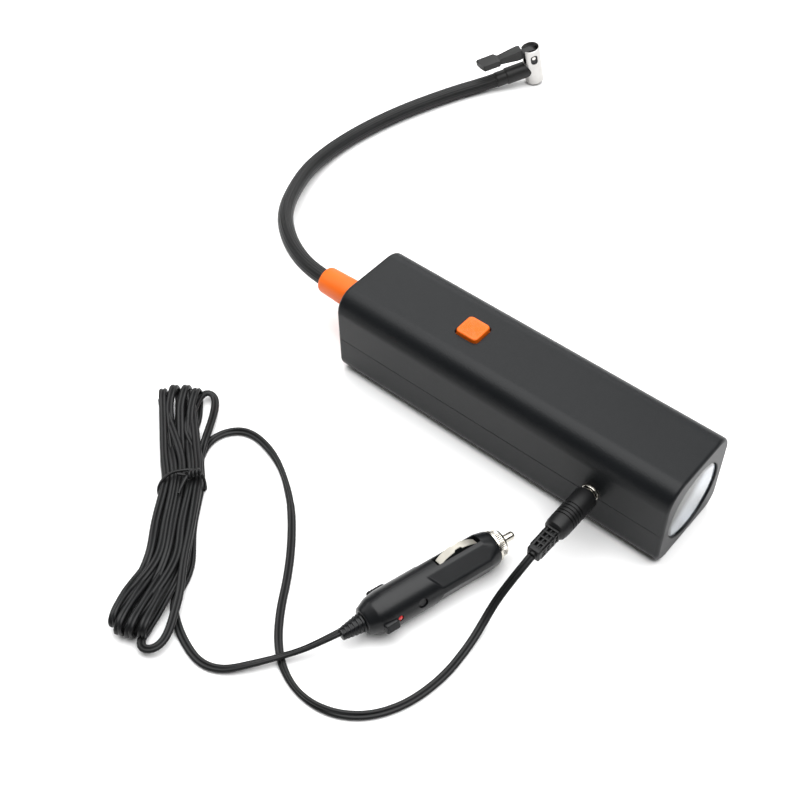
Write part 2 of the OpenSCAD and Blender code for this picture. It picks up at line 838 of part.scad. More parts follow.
module twist_tie() {
    color(black) tie_frame() {
        difference() {
            block([-1, -10.3, 0], [1, 10.3, 13.2]);
            block([-2, -9.5, 0.8], [2, 9.5, 12.4]);
        }
        block([-1, 7, 13.2], [1, 10.3, 16.5]);
    }
}

// ---------- lighter plug ----------

module plug_frame() {
    translate(plug_pos) rotate([0, 0, plug_turn]) rotate([plug_roll, 0, 0]) children();
}

module plug_outline() {
    turned_x([[0, 0], [0, 6.6], [6, plug_r - 0.9], [12, plug_r], [plug_l - 7, plug_r],
        [plug_l, 8.6], [plug_l, 0]]);
    for (s = [-1, 1]) intersection() {
        rod_x(6, 20, 10.8, 0, 0);
        block([6, s > 0 ? 5 : -11, -4], [20, s > 0 ? 11 : -5, 4]);
    }
}

module plug_hollow() {
    rod_x(40, plug_l - 2, 4.2);
    rod_x(plug_l - 3, plug_l + 1, 6.2);
    rod_x(-1, 14, 3);
    rod_x(13, 41, 6.6);
    block([44, -2.6, -plug_r - 1], [69, 2.6, plug_r + 1]);
}

module plug_half(side) {
    difference() {
        plug_outline();
        plug_hollow();
        block([-1, side > 0 ? -20 : 0, -20], [plug_l + 1, side > 0 ? 0 : 20, 20]);
        rod_y(-plug_r - 2, -8, 2.5, 28.5, 0);
        rod_y(-9, 0, 1.35, 28.5, 0);
        rod_y(0, 8.5, 1.15, 28.5, 0);
        rod_y(-12, 0, 1.5, 15.5, -1);
    }
}

module plug_shell_left() {
    color(black) plug_frame() plug_half(1);
}

module plug_shell_right() {
    color(black) plug_frame() plug_half(-1);
}

module plug_screw() {
    color(steel) plug_frame() {
        rod_y(-9.2, -8, 2.2, 28.5, 0);
        rod_y(-8, 8.4, 1.2, 28.5, 0);
    }
}

module plug_lamp() {
    color("red") plug_frame() rod_y(-9.6, -5, 1.45, 15.5, -1);
}

// One bowed leaf in its slot; side is +1 for the upper leaf and -1 for the lower one
module ground_spring(side) {
    flip = side > 0 ? 0 : 180;
    bow = 46;
    drop = bow - plug_r - 0.6;
    color(nickel) plug_frame() rotate([flip, 0, 0]) intersection() {
        difference() {
            rod_y(-2.3, 2.3, bow, 56.5, -drop);
            rod_y(-3, 3, bow - 0.5, 56.5, -drop);
        }
        block([45.5, -3, 5], [67.5, 3, plug_r + 1]);
    }
}

module ground_spring_top() {
    ground_spring(1);
}

module ground_spring_bottom() {
    ground_spring(-1);
}

module tip_ring() {
    color(nickel) plug_frame() difference() {
        turned_x([[plug_l + 0.1, 0], [plug_l + 0.1, 8.2], [plug_l + 1.2, 8.2], [plug_l + 1.2, 7],
            [plug_l + 5.6, 6.6], [plug_l + 5.6, 0]]);
        rod_x(plug_l - 1, plug_l + 4.1, 5.6);
        rod_x(plug_l - 1, plug_l + 7, 3.3);
    }
}

module tip_contact() {
    color(nickel) plug_frame() {
        turned_x([[plug_l + 1.6, 0], [plug_l + 1.6, 3.5], [plug_l + 3.2, 3.5], [plug_l + 3.2, 2.25],
            [plug_l + 12, 2.25], [plug_l + 13, 1.4], [plug_l + 13, 0]]);
    }
}

module tip_spring() {
    color(steel) plug_frame() difference() {
        rod_x(40.2, 45, 3.2);
        rod_x(40, 46, 2.4);
    }
}

module plug_fuse() {
    color("lightblue") plug_frame() rod_x(45, plug_l - 2.2, 3.2);
}

module plug_relief() {
    color(black) plug_frame() {
        for (k = [0:4]) rod_x(-relief_l + 2.4 * k, -relief_l + 2.4 * k + 1.6, 4 + 0.32 * k);
        rod_x(-relief_l, 0, 3.4);
        rod_x(0, 12, 2.9);
    }
}

upper_housing();
lower_housing();
housing_screws();
lens();
reflector();
led_board();
led_emitter();
hose_collar();
dc_jack();
dc_jack_ring();
jack_pin();
power_button();
switch_plunger();
switch_body();
main_board();
board_screws();
motor_can();
motor_magnets();
motor_rotor();
motor_shaft();
motor_pinion();
motor_end_cap();
pump_frame();
crank_axle();
crank_gear();
crank_bush();
crank_pin();
piston_rod();
piston_cup();
pump_cylinder();
cylinder_head();
hose_barb();
battery_cells();
battery_holder();
air_hose();
hose_ferrule();
chuck_sleeve();
chuck_core();
chuck_grommet();
chuck_piston();
chuck_pin();
chuck_lever();
dc_plug_grip();
dc_plug_barrel();
dc_plug_relief();
power_cord_near();
cord_hank();
twist_tie();
power_cord_far();
plug_relief();
plug_shell_left();
plug_shell_right();
plug_screw();
plug_lamp();
ground_spring_top();
ground_spring_bottom();
tip_ring();
tip_contact();
tip_spring();
plug_fuse();
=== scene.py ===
import math

import bmesh
import bpy
from mathutils import Matrix, Vector


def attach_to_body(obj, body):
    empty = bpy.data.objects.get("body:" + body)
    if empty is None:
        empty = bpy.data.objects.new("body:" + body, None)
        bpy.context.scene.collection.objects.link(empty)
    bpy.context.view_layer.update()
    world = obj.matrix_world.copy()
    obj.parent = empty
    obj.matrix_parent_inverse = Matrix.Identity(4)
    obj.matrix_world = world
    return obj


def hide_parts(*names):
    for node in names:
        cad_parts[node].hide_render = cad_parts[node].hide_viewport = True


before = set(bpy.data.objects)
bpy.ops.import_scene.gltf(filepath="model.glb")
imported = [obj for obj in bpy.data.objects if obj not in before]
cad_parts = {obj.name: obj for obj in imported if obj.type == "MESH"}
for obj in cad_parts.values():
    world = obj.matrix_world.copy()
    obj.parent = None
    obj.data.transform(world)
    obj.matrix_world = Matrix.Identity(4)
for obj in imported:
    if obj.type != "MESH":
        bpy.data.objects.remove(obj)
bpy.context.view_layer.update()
print("frame loaded:", len(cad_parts), "nodes")

studio = {
    "cameraPlace": (0.23415, -0.36178, 0.52215),
    "azimuth": 41.40,
    "elevation": 49.26,
    "roll": -1.38,
    "lens": 55.86,
    "floorColour": (0.95, 0.95, 0.95, 1.0),
    # brightness of the surroundings from the dark front to the bright back and top
    "surroundings": [(0.0, 0.06), (0.33, 0.10), (0.60, 0.55), (1.0, 0.80)],
    "overhead": 52.0,
    "behind": 7.0,
    "side": 4.0,
}


def directionFrom(azimuth, elevation):
    a, e = math.radians(azimuth), math.radians(elevation)
    return Vector((math.sin(a) * math.cos(e), -math.cos(a) * math.cos(e), math.sin(e)))


def makeCamera():
    back = directionFrom(studio["azimuth"], studio["elevation"])
    a = math.radians(studio["azimuth"])
    right = Vector((math.cos(a), math.sin(a), 0))
    up = back.cross(right)
    turn = math.radians(studio["roll"])
    rightRolled = right * math.cos(turn) + up * math.sin(turn)
    upRolled = up * math.cos(turn) - right * math.sin(turn)
    data = bpy.data.cameras.new("camera")
    data.lens = studio["lens"]
    data.clip_start, data.clip_end = 0.01, 50
    camera = bpy.data.objects.new("camera", data)
    bpy.context.scene.collection.objects.link(camera)
    axes = Matrix((rightRolled, upRolled, back)).transposed().to_4x4()
    camera.matrix_world = Matrix.Translation(studio["cameraPlace"]) @ axes
    bpy.context.scene.camera = camera


class Wire:
    # one socket of a material: a formula written on it adds the Math nodes it needs
    def __init__(self, tree, socket=None):
        self.tree = tree
        self.socket = socket

    def add(self, kind, settings=None, values=None, output=0):
        node = self.tree.nodes.new(kind)
        for name, value in (settings or {}).items():
            if name == "stops":
                fillRamp(node.color_ramp, value)
            else:
                setattr(node, name, value)
        for name, value in (values or {}).items():
            if isinstance(value, Wire):
                self.tree.links.new(value.socket, node.inputs[name])
            else:
                node.inputs[name].default_value = value
        return Wire(self.tree, node.outputs[output]) if len(node.outputs) else None

    def maths(self, operation, first, second):
        return self.add("ShaderNodeMath", {"operation": operation}, {0: first, 1: second})

    def __add__(self, other):
        return self.maths("ADD", self, other)

    def __radd__(self, other):
        return self.maths("ADD", other, self)

    def __sub__(self, other):
        return self.maths("SUBTRACT", self, other)

    def __rsub__(self, other):
        return self.maths("SUBTRACT", other, self)

    def __mul__(self, other):
        return self.maths("MULTIPLY", self, other)

    def __rmul__(self, other):
        return self.maths("MULTIPLY", other, self)


def fillRamp(ramp, stops):
    while len(ramp.elements) < len(stops):
        ramp.elements.new(0.5)
    for element, (place, level) in zip(ramp.elements, stops):
        element.position = place
        element.color = (level, level, level, 1)


# The moulded, rubber and metal finishes all come from this one recipe.
# grain and patch are sizes in millimetres, depth is how deep the grain is in millimetres.
def finish(name, colour, second, rough, patch=12.0, grain=0.6, depth=0.02, metal=0.0, coat=0.0, pits=0.0,
           strength=0.5, shine=0.5, extra=None):
    if name in bpy.data.materials:
        return bpy.data.materials[name]
    material = bpy.data.materials.new(name)
    material.use_nodes = True
    tree = material.node_tree
    tree.nodes.clear()
    start = Wire(tree)
    place = start.add("ShaderNodeTexCoord", output="Object")
    broad = start.add("ShaderNodeTexNoise", None, {"Vector": place, "Scale": 1000 / patch, "Detail": 4.0})
    fine = start.add("ShaderNodeTexNoise", None, {"Vector": place, "Scale": 1000 / grain, "Detail": 3.0})
    tone = start.add("ShaderNodeValToRGB", {"stops": [(0.3, 0.0), (0.7, 1.0)]}, {0: broad})
    baseColour = start.add("ShaderNodeMix", {"data_type": "RGBA"},
                           {0: tone * 0.7 + fine * 0.3, 6: (*colour, 1), 7: (*second, 1)}, 2)
    height = fine
    if pits:
        cells = start.add("ShaderNodeTexVoronoi", {"feature": "SMOOTH_F1"},
                          {"Vector": place, "Scale": 1000 / pits, "Smoothness": 0.6})
        height = fine * 0.35 + cells * 0.65
    bump = start.add("ShaderNodeBump", None,
                     {"Height": height, "Strength": strength, "Distance": depth / 1000})
    low, high = rough
    roughness = (broad * 0.6 + fine * 0.4) * (high - low) + low
    surface = start.add("ShaderNodeBsdfPrincipled", None, {
        "Base Color": baseColour, "Roughness": roughness, "Metallic": metal, "Coat Weight": coat,
        "Coat Roughness": 0.12, "Specular IOR Level": shine, "Normal": bump, **(extra or {})})
    start.add("ShaderNodeOutputMaterial", None, {"Surface": surface})
    return material


def makeStudio():
    floorMesh = bpy.data.meshes.new("floor")
    floorMesh.from_pydata([(-3, -3, 0), (3, -3, 0), (3, 3, 0), (-3, 3, 0)], [], [(0, 1, 2, 3)])
    floor = bpy.data.objects.new("floor", floorMesh)
    floor.location.z = -0.0002
    bpy.context.scene.collection.objects.link(floor)
    pale = studio["floorColour"][:3]
    floorMesh.materials.append(finish("paleFloor", pale, tuple(v * 0.99 for v in pale), (0.85, 0.9),
                                      patch=300))
    world = bpy.data.worlds.new("studio")
    world.use_nodes = True
    world.node_tree.nodes.clear()
    start = Wire(world.node_tree)
    heading = start.add("ShaderNodeTexCoord", output="Generated")
    height = start.add("ShaderNodeSeparateXYZ", None, {"Vector": heading}, "Z")
    depth = start.add("ShaderNodeSeparateXYZ", None, {"Vector": heading}, "Y")
    light = start.add("ShaderNodeValToRGB", {"stops": studio["surroundings"]},
                      {0: height * 0.7 + depth * 0.42})
    glow = start.add("ShaderNodeBackground", None, {"Color": light})
    start.add("ShaderNodeOutputWorld", None, {"Surface": glow})
    bpy.context.scene.world = world
    bpy.context.scene.view_settings.view_transform = "Standard"
    lamps = {
        "overhead": ((0.0, 0.1, 1.5), (0.0, 0.0, 0.0), (2.4, 1.6), studio["overhead"]),
        "behind": ((-0.9, 1.3, 0.9), (0.0, 0.0, 0.0), (1.2, 0.8), studio["behind"]),
        "side": ((-1.4, -0.5, 0.9), (0.0, 0.0, 0.0), (0.8, 0.8), studio["side"]),
    }
    for name, (place, aim, size, power) in lamps.items():
        data = bpy.data.lights.new(name, "AREA")
        data.shape = "RECTANGLE"
        data.size, data.size_y = size
        data.energy = power
        lamp = bpy.data.objects.new(name, data)
        lamp.location = place
        lamp.rotation_euler = (Vector(aim) - Vector(place)).to_track_quat("-Z", "Y").to_euler()
        bpy.context.scene.collection.objects.link(lamp)


makeCamera()
makeStudio()
print("camera, floor and lights ready")


# edges that turn by more degrees than this stay sharp
creaseAngle = 35


def makePiece(name, points, faces, material, body, slot=None, crease=creaseAngle, replaced=()):
    # points are in millimetres
    mesh = bpy.data.meshes.new(name)
    mesh.from_pydata([Vector(p) / 1000 for p in points], [], faces)
    cleanMesh(mesh)
    piece = bpy.data.objects.new(name, mesh)
    bpy.context.scene.collection.objects.link(piece)
    mesh.materials.append(material)
    softenMesh(mesh, crease)
    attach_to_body(piece, body)
    if replaced:
        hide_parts(*replaced)
    return piece


def cleanMesh(mesh):
    work = bmesh.new()
    work.from_mesh(mesh)
    bmesh.ops.remove_doubles(work, verts=work.verts, dist=0.000002)
    bmesh.ops.recalc_face_normals(work, faces=work.faces)
    work.to_mesh(mesh)
    work.free()


def softenMesh(mesh, crease):
    mesh.shade_smooth()
    mesh.set_sharp_from_angle(angle=math.radians(crease))


def joinRings(rings, loop=False, caps=True, ringClosed=True):
    # rings of the same number of points, joined by four-sided faces
    count = len(rings[0])
    points = [p for ring in rings for p in ring]
    faces = []
    for i in range(len(rings) if loop else len(rings) - 1):
        here, there = i * count, (i + 1) % len(rings) * count
        for k in range(count if ringClosed else count - 1):
            after = (k + 1) % count
            faces.append((here + k, here + after, there + after, there + k))
    if caps and not loop:
        faces.append(tuple(range(count)))
        faces.append(tuple(len(points) - count + k for k in range(count)))
    return points, faces


def roundCorners(corners, radius, steps=4, closed=True):
    # each corner is (x, y) or (x, y, its own radius)
    result = []
    count = len(corners)
    for i, corner in enumerate(corners):
        here = Vector(corner[:2])
        size = corner[2] if len(corner) > 2 else radius
        if size <= 0 or (not closed and i in (0, count - 1)):
            result.append(here)
            continue
        before = Vector(corners[i - 1][:2]) - here
        after = Vector(corners[(i + 1) % count][:2]) - here
        half = before.angle(after) / 2
        reach = min(size / max(math.tan(half), 0.01), before.length * 0.49, after.length * 0.49)
        start, end = here + before.normalized() * reach, here + after.normalized() * reach
        for k in range(steps + 1):
            t = k / steps
            result.append(start * (1 - t) ** 2 + here * 2 * t * (1 - t) + end * t * t)
    return result


def spin(profile, place=None, steps=64, closed=False):
    # turns a profile of (distance along X, radius) round the X axis
    place = place or Matrix()
    rings = []
    for k in range(steps):
        a = math.tau * k / steps
        rings.append([place @ Vector((x, r * math.cos(a), r * math.sin(a))) for x, r in profile])
    return joinRings(rings, loop=True, ringClosed=closed)


def mergeShapes(*shapes):
    points, faces = [], []
    for morePoints, moreFaces in shapes:
        offset = len(points)
        points += list(morePoints)
        faces += [tuple(i + offset for i in face) for face in moreFaces]
    return points, faces


def prism(outline, low, high, place=None, edge=0.0, steps=3):
    # an outline in X and Y between two heights, its top and bottom edges rounded by edge
    place = place or Matrix()
    levels = [(low, 0.0), (high, 0.0)]
    if edge:
        angles = [math.pi / 2 * k / steps for k in range(steps + 1)]
        turn = [(1 - math.cos(a), math.sin(a)) for a in angles]
        levels = [(low + edge * rise, edge * (1 - out)) for rise, out in turn]
        levels += [(high - edge * rise, edge * (1 - out)) for rise, out in reversed(turn)]
    rings = []
    for height, inset in levels:
        rings.append([place @ Vector((p[0], p[1], height)) for p in insetOutline(outline, inset)])
    return joinRings(rings)


def insetOutline(outline, inset):
    if not inset:
        return outline
    count = len(outline)
    turning = sum(outline[i].x * outline[(i + 1) % count].y - outline[(i + 1) % count].x * outline[i].y
                  for i in range(count))
    side = 1 if turning > 0 else -1
    result = []
    for i, here in enumerate(outline):
        before = here - outline[i - 1]
        after = outline[(i + 1) % count] - here
        if before.length < 1e-6:
            before = after
        if after.length < 1e-6:
            after = before
        before, after = before.normalized(), after.normalized()
        normal = Vector((-(before.y + after.y), before.x + after.x)) * side
        if normal.length < 1e-6:
            result.append(here)
            continue
        normal.normalize()
        plain = Vector((-before.y, before.x)) * side
        result.append(here + normal * inset / max(normal.dot(plain), 0.5))
    return result


def carve(piece, shape, operation="DIFFERENCE"):
    points, faces = shape
    mesh = bpy.data.meshes.new("cutter")
    mesh.from_pydata([Vector(p) / 1000 for p in points], [], faces)
    cleanMesh(mesh)
    cutter = bpy.data.objects.new("cutter", mesh)
    bpy.context.scene.collection.objects.link(cutter)
    step = piece.modifiers.new("carve", "BOOLEAN")
    step.operation = operation
    step.solver = "EXACT"
    step.object = cutter
    graph = bpy.context.evaluated_depsgraph_get()
    made = bpy.data.meshes.new_from_object(piece.evaluated_get(graph))
    piece.modifiers.clear()
    old = piece.data
    piece.data = made
    bpy.data.meshes.remove(old)
    bpy.data.objects.remove(cutter)
    bpy.data.meshes.remove(mesh)
    softenMesh(made, creaseAngle)
    return piece


def evenNormals(piece):
    # keeps wide flat faces flat beside their rounded edges
    step = piece.modifiers.new("evenNormals", "WEIGHTED_NORMAL")
    step.keep_sharp = True
    step.weight = 60
    return piece


def smoothRoute(points, spacing=2.0, rounds=3):
    # a smooth curve through points, resampled at an even spacing
    points = [Vector(p) for p in points]
    ends = [points[0] * 2 - points[1]] + points + [points[-1] * 2 - points[-2]]
    fine = []
    for i in range(1, len(ends) - 2):
        a, b, c, d = ends[i - 1:i + 3]
        for k in range(12):
            t = k / 12
            fine.append(0.5 * (2 * b + (c - a) * t + (2 * a - 5 * b + 4 * c - d) * t * t
                               + (3 * b - a - 3 * c + d) * t ** 3))
    fine.append(points[-1])
    for _ in range(2):
        fine = respaced(fine, spacing)
        for _ in range(rounds):
            fine = [fine[0]] + [fine[i] * 0.5 + (fine[i - 1] + fine[i + 1]) * 0.25
                                for i in range(1, len(fine) - 1)] + [fine[-1]]
    return fine


def respaced(points, spacing):
    lengths = [0.0]
    for a, b in zip(points, points[1:]):
        lengths.append(lengths[-1] + (b - a).length)
    count = max(2, round(lengths[-1] / spacing))
    result, i = [], 0
    for k in range(count + 1):
        want = lengths[-1] * k / count
        while i < len(points) - 2 and lengths[i + 1] < want:
            i += 1
        t = (want - lengths[i]) / max(lengths[i + 1] - lengths[i], 1e-9)
        result.append(points[i].lerp(points[i + 1], min(max(t, 0), 1)))
    return result


def routeLength(points):
    return sum((b - a).length for a, b in zip(points, points[1:]))


def routeFrames(route, level=0.12):
    # heading, sideways and upward directions at each point, kept near level
    frames = []
    across = None
    for i, here in enumerate(route):
        along = (route[min(i + 1, len(route) - 1)] - route[max(i - 1, 0)]).normalized()
        flat = along.cross(Vector((0, 0, 1)))
        if across is None:
            across = flat.normalized()
        across = across - along * across.dot(along)
        if flat.length > 0.25:
            flat.normalize()
            across = across + flat * (level if flat.dot(across) >= 0 else -level)
        across.normalize()
        frames.append((along, across, across.cross(along).normalized()))
    return frames


def sweepSection(route, section, turns=None, sizes=None):
    # section holds (sideways, upward) pairs; turns are degrees at each point
    rings = []
    for i, (along, across, up) in enumerate(routeFrames(route)):
        a = math.radians(turns[i]) if turns else 0
        side = across * math.cos(a) + up * math.sin(a)
        rise = up * math.cos(a) - across * math.sin(a)
        size = sizes[i] if sizes else 1
        rings.append([route[i] + side * u * size + rise * v * size for u, v in section])
    return joinRings(rings)


# Air hose: ribbed rubber over a braid
hose = {
    "radius": 4.85,
    "ribs": 20,
    "ribDepth": 0.26,
    "route": [(-67, 0, 28.5), (-95, 0, 28.5), (-118, 0, 28.5), (-139, 0, 28.5), (-158, 3, 27.5),
              (-178, 12, 25), (-197, 26, 21), (-210.5, 41, 17), (-223, 61, 12), (-233, 84, 8),
              (-237, 106, 5.8), (-237, 127, 5), (-234, 148, 5), (-229, 170, 5), (-222, 192, 5),
              (-214, 213, 5), (-207, 227.5, 5.3), (-201.5, 237.5, 6.3), (-195.5, 246.8, 8.4)],
    "colour": (0.0045, 0.0046, 0.0048),
    "second": (0.0070, 0.0071, 0.0073),
}


def makeHose():
    route = smoothRoute(hose["route"], 2.0)
    sides = hose["ribs"] * 4
    section = []
    for k in range(sides):
        a = math.tau * k / sides
        r = hose["radius"] - hose["ribDepth"] * 0.5 + hose["ribDepth"] * 0.5 * math.cos(a * hose["ribs"])
        section.append((r * math.cos(a), r * math.sin(a)))
    points, faces = sweepSection(route, section)
    rubber = finish("hoseRubber", hose["colour"], hose["second"], (0.38, 0.55), patch=9, grain=0.35,
                    depth=0.03, shine=0.26)
    piece = makePiece("airHose", points, faces, rubber, "casing", "hose_rubber", 60, ["air_hose"])
    return piece, route


# Charging lead: one twin flat cord from the round plug to the lighter plug, its middle folded in a hank
lead = {
    "width": 4.4,
    "thick": 2.3,
    "groove": 0.62,
    # where the flat lead turns on its edge: place, degrees and how far the turn reaches
    "onEdge": [((-77, -103.8), 70, 24), ((19.3, -191.2), 75, 26), ((-110, -96), 35, 10)],
    "colour": (0.0042, 0.0044, 0.0047),
    "second": (0.0065, 0.0067, 0.0070),
    "near": [(63.2, -76.4, 26.7), (62.5, -84, 23), (61, -92, 16.5), (60, -100, 10), (60.5, -109, 4.8),
             (61.5, -118, 2), (62.2, -127, 1.2), (62.7, -139, 1.2), (60.8, -154, 1.2), (56.3, -167.3, 1.2),
             (47.8, -179.8, 1.2), (34.9, -188.6, 1.2), (19.3, -191.2, 1.2), (4, -187, 1.2), (-9, -177.5, 1.2),
             (-20.5, -164, 1.2), (-30.5, -149, 1.2), (-43, -133, 1.2), (-59, -116.5, 1.2), (-77, -103.8, 1.2),
             (-91, -97.6, 1.2), (-105, -95, 1.2), (-115, -97.5, 1.4), (-121, -104.5, 1.5),
             (-122.5, -113, 1.5), (-119.5, -122, 1.5)],
    "far": [(-63, -194.5, 1.6), (-55.5, -200.5, 1.4), (-47, -204.8, 1.3), (-38, -207.8, 1.2),
            (-28.5, -209, 1.2), (-18.5, -204.8, 1.6), (-9.5, -195, 3.6), (-1, -183, 4.2), (5.5, -173.5, 5.8),
            (10.5, -165, 8.5), (14, -158.5, 10.2), (15.3, -155, 10.5)],
}
hank = {
    "tie": (-112, -142),
    "bend": (-81, -182),
    "towardTop": (-43, 36, 0),
    "towardLow": (15, -36, 0),
    "column": 4.3,
    "layer": 3.1,
    "slots": [(3, 0), (3, 1), (2, 0), (2, 1), (1, 0), (1, 1), (0, 0), (0, 1), (0, 2), (1, 2), (2, 2), (3, 2),
              (4, 2), (4, 1), (4, 0)],
    # where each standing fold ends: x, y, its radius and how far its top leans sideways
    "bottomFolds": [(-58.5, -220, 5.2, 1.0), (-63.2, -223.5, 5.4, 0.5), (-68, -225.6, 5.4, 0.0),
                    (-72.4, -224.4, 5.2, -1.0), (-75.4, -220.3, 4.4, -1.5), (-65.5, -222, 4.6, 0.5)],
    "topFolds": [(-150.5, -94.5, 5.4, 1.0), (-156, -96.5, 5.6, 0.5), (-161, -100.5, 5.6, 0.0),
                 (-164.5, -106.5, 5.4, -0.5), (-160.5, -111.5, 4.8, -1.5), (-155, -99, 4.8, 0.5)],
    # the right-hand strands lie flat where they turn back
    "lowLoop": [(-62.5, -190, 7.2), (-57, -198.5, 6.2), (-51.5, -207.5, 5.4), (-48.8, -215, 4.8),
                (-50.5, -221, 4.6), (-55.5, -223.5, 4.5), (-59, -218.5, 4.4), (-61.5, -209, 4.5),
                (-65.5, -198, 4.7)],
    "openLoop": [(-133, -119, 8.2), (-141, -107, 7.5), (-147, -96, 5.5), (-147.5, -89.5, 4.0),
                 (-142.5, -89.5, 3.2), (-136, -96, 3.0), (-129.5, -105.5, 3.6), (-122, -117, 5.2)],
}


def hankSlot(number, place, heading, swell=1.0):
    column, layer = hank["slots"][number]
    across = Vector((-heading.y, heading.x, 0)).normalized()
    if across.x < 0:
        across = -across
    wobble = 0.35 * math.sin(number * 2.3 + place[0])
    aside = (column - 2) * hank["column"] * swell + wobble
    return Vector((*place, 1.6 + hank["layer"] * layer)) + across * aside


def foldPoints(fold, comingFrom, goingTo, upward):
    # a hairpin standing on its side, from one height to another
    x, y, radius, lean = fold
    middle = (comingFrom + goingTo) / 2
    heading = Vector((x, y, 0)) - Vector((middle.x, middle.y, 0))
    heading.normalize()
    across = Vector((-heading.y, heading.x, 0))
    if across.x < 0:
        across = -across
    centre = Vector((x, y, 1.4 + radius)) - heading * radius
    shift = across.dot(goingTo - comingFrom)
    points = []
    for k in range(-3, 10):
        if k < 0:
            back, angle = -k * 4.0, -90
        elif k > 6:
            back, angle = (k - 6) * 4.0, 90
        else:
            back, angle = 0.0, -90 + 30 * k
        a = math.radians(angle)
        point = centre + heading * (radius * math.cos(a) - back) + Vector((0, 0, radius * math.sin(a)))
        point += Vector((0, 0, -0.16 * back if angle == 90 else 0))
        part = (k + 3) / 12 if upward else 1 - (k + 3) / 12
        sway = min(max(shift, -4), 4) * (part - 0.5) * (1 if upward else -1)
        point += across * (lean * (math.sin(a) + 1) / 2 + sway)
        points.append(point)
    return points if upward else points[::-1]


def leadRoute():
    tie, bend = Vector((*hank["tie"], 0)), Vector((*hank["bend"], 0))
    towardTop = Vector(hank["towardTop"]).normalized()
    middle = (bend - tie).normalized()
    low = Vector(hank["towardLow"]).normalized()
    atTie = (middle - towardTop).normalized()
    atBend = (middle + low).normalized()
    route = [Vector(p) for p in lead["near"]]
    count = len(hank["slots"])

    def strandAt(number):
        above = hankSlot(number, (tie + towardTop * 15)[:2], -towardTop, 1.06)
        at = hankSlot(number, tie[:2], atTie)
        between = hankSlot(number, (tie * 0.45 + bend * 0.55)[:2], middle, 1.03)
        atLow = hankSlot(number, bend[:2], atBend, 1.05)
        return [above, at, between, atLow]

    for number in range(count):
        strand = strandAt(number)
        if number == 0:
            strand = strand[1:]
        if number == count - 1:
            strand = strand[:3] + [strand[3] + Vector((1.5, 1.5, 0))]
        if number % 2:
            strand = strand[::-1]
        route += strand
        if number == count - 1:
            break
        following = strandAt(number + 1)
        upward = hank["slots"][number + 1][1] >= hank["slots"][number][1]
        if number == count - 3:
            route += [Vector(p) for p in hank["lowLoop"]]
        elif number % 2 == 0:
            route += foldPoints(hank["bottomFolds"][number // 2], strand[-1], following[-1], upward)
        elif number == count - 2:
            route += [Vector(p) for p in hank["openLoop"]]
        else:
            route += foldPoints(hank["topFolds"][number // 2], strand[-1], following[0], upward)
    route += [Vector(p) for p in lead["far"]]
    return smoothRoute(route, 1.8, 4)


def twinSection():
    half = lead["thick"] / 2
    offset = lead["width"] / 2 - half
    section = []
    for side in (1, -1):
        for k in range(-4, 5):
            a = math.radians(k * 30)
            section.append((side * (offset + half * math.cos(a)), side * half * math.sin(a)))
    section.insert(9, (0, lead["groove"]))
    section.append((0, -lead["groove"]))
    return section


def leadTurns(route):
    turns = []
    for point in route:
        turn = 0.0
        for (x, y), angle, reach in lead["onEdge"]:
            away = math.hypot(point.x - x, point.y - y)
            turn += angle * math.exp(-(away / reach) ** 2)
        if point.x < -60 and point.y < -112:
            turn += 16 * math.sin(point.x * 0.11 + point.z * 0.9)
        turns.append(turn)
    return turns


def makeLead():
    route = leadRoute()
    turns = leadTurns(route)
    half = lead["thick"] / 2
    reach = lead["width"] / 2 - half
    for point, turn in zip(route, turns):
        point.z = max(point.z, half + reach * abs(math.sin(math.radians(turn))) + 0.03)
    points, faces = sweepSection(route, twinSection(), turns)
    rubber = finish("leadRubber", lead["colour"], lead["second"], (0.33, 0.48), patch=14, grain=0.4,
                    depth=0.015, shine=0.24)
    piece = makePiece("chargingLead", points, faces, rubber, "lead", "cord_rubber", 50,
                      ["power_cord_near", "cord_hank", "power_cord_far"])
    return piece, route


hosePiece, hoseRoute = makeHose()
leadPiece, leadPath = makeLead()
print("hose", round(routeLength(hoseRoute)), "mm, lead", round(routeLength(leadPath)), "mm")


# Housing: two moulded shells with a seam groove
housing = {
    "length": 210, "width": 55, "height": 56,
    "wall": 2.4, "topRadius": 12.5, "bottomRadius": 9.5, "endRadius": 2.0,
    "seam": 25, "seamGap": 0.08, "grooveWidth": 0.5, "grooveDepth": 0.14,
    "lampHeight": 27, "lampRadius": 21.4,
    "hoseHeight": 28.5, "jack": (63.2, 26.7),
    "screwPlaces": [(x, y) for x in (-97, 92) for y in (-20, 20)],
    "boardScrewPlaces": [(x, y) for x in (-59, -27) for y in (-11, 11)],
    "colour": (0.0048, 0.0056, 0.0064),
    "second": (0.0064, 0.0073, 0.0083),
}


def housingPlastic():
    return finish("housingPlastic", housing["colour"], housing["second"], (0.34, 0.44), patch=45, grain=0.22,
                  depth=0.06, pits=0.75, strength=0.9, shine=0.19)


def housingOutline(inset):
    # seen along X: (y, z)
    w = housing["width"] / 2 - inset
    top, low = housing["height"] - inset, inset
    tr, br = housing["topRadius"] - inset, housing["bottomRadius"] - inset
    outline = []
    for cy, cz, r, first in ((w - tr, top - tr, tr, 0), (tr - w, top - tr, tr, 90),
                             (br - w, low + br, br, 180), (w - br, low + br, br, 270)):
        for k in range(17):
            a = math.radians(first + 90 * k / 16)
            outline.append((cy + r * math.cos(a), cz + r * math.sin(a)))
    return outline


def housingSolid(inset, endRadius, steps=6):
    half = housing["length"] / 2 - inset
    rings = []
    for k in range(steps + 1):
        a = math.pi / 2 * k / steps
        pull, x = endRadius * (1 - math.sin(a)), half - endRadius * (1 - math.cos(a))
        rings.append([Vector((-x, y, z)) for y, z in housingOutline(inset + pull)])
    rings += [[Vector((-p.x, p.y, p.z)) for p in ring] for ring in rings[::-1]]
    return joinRings(rings)


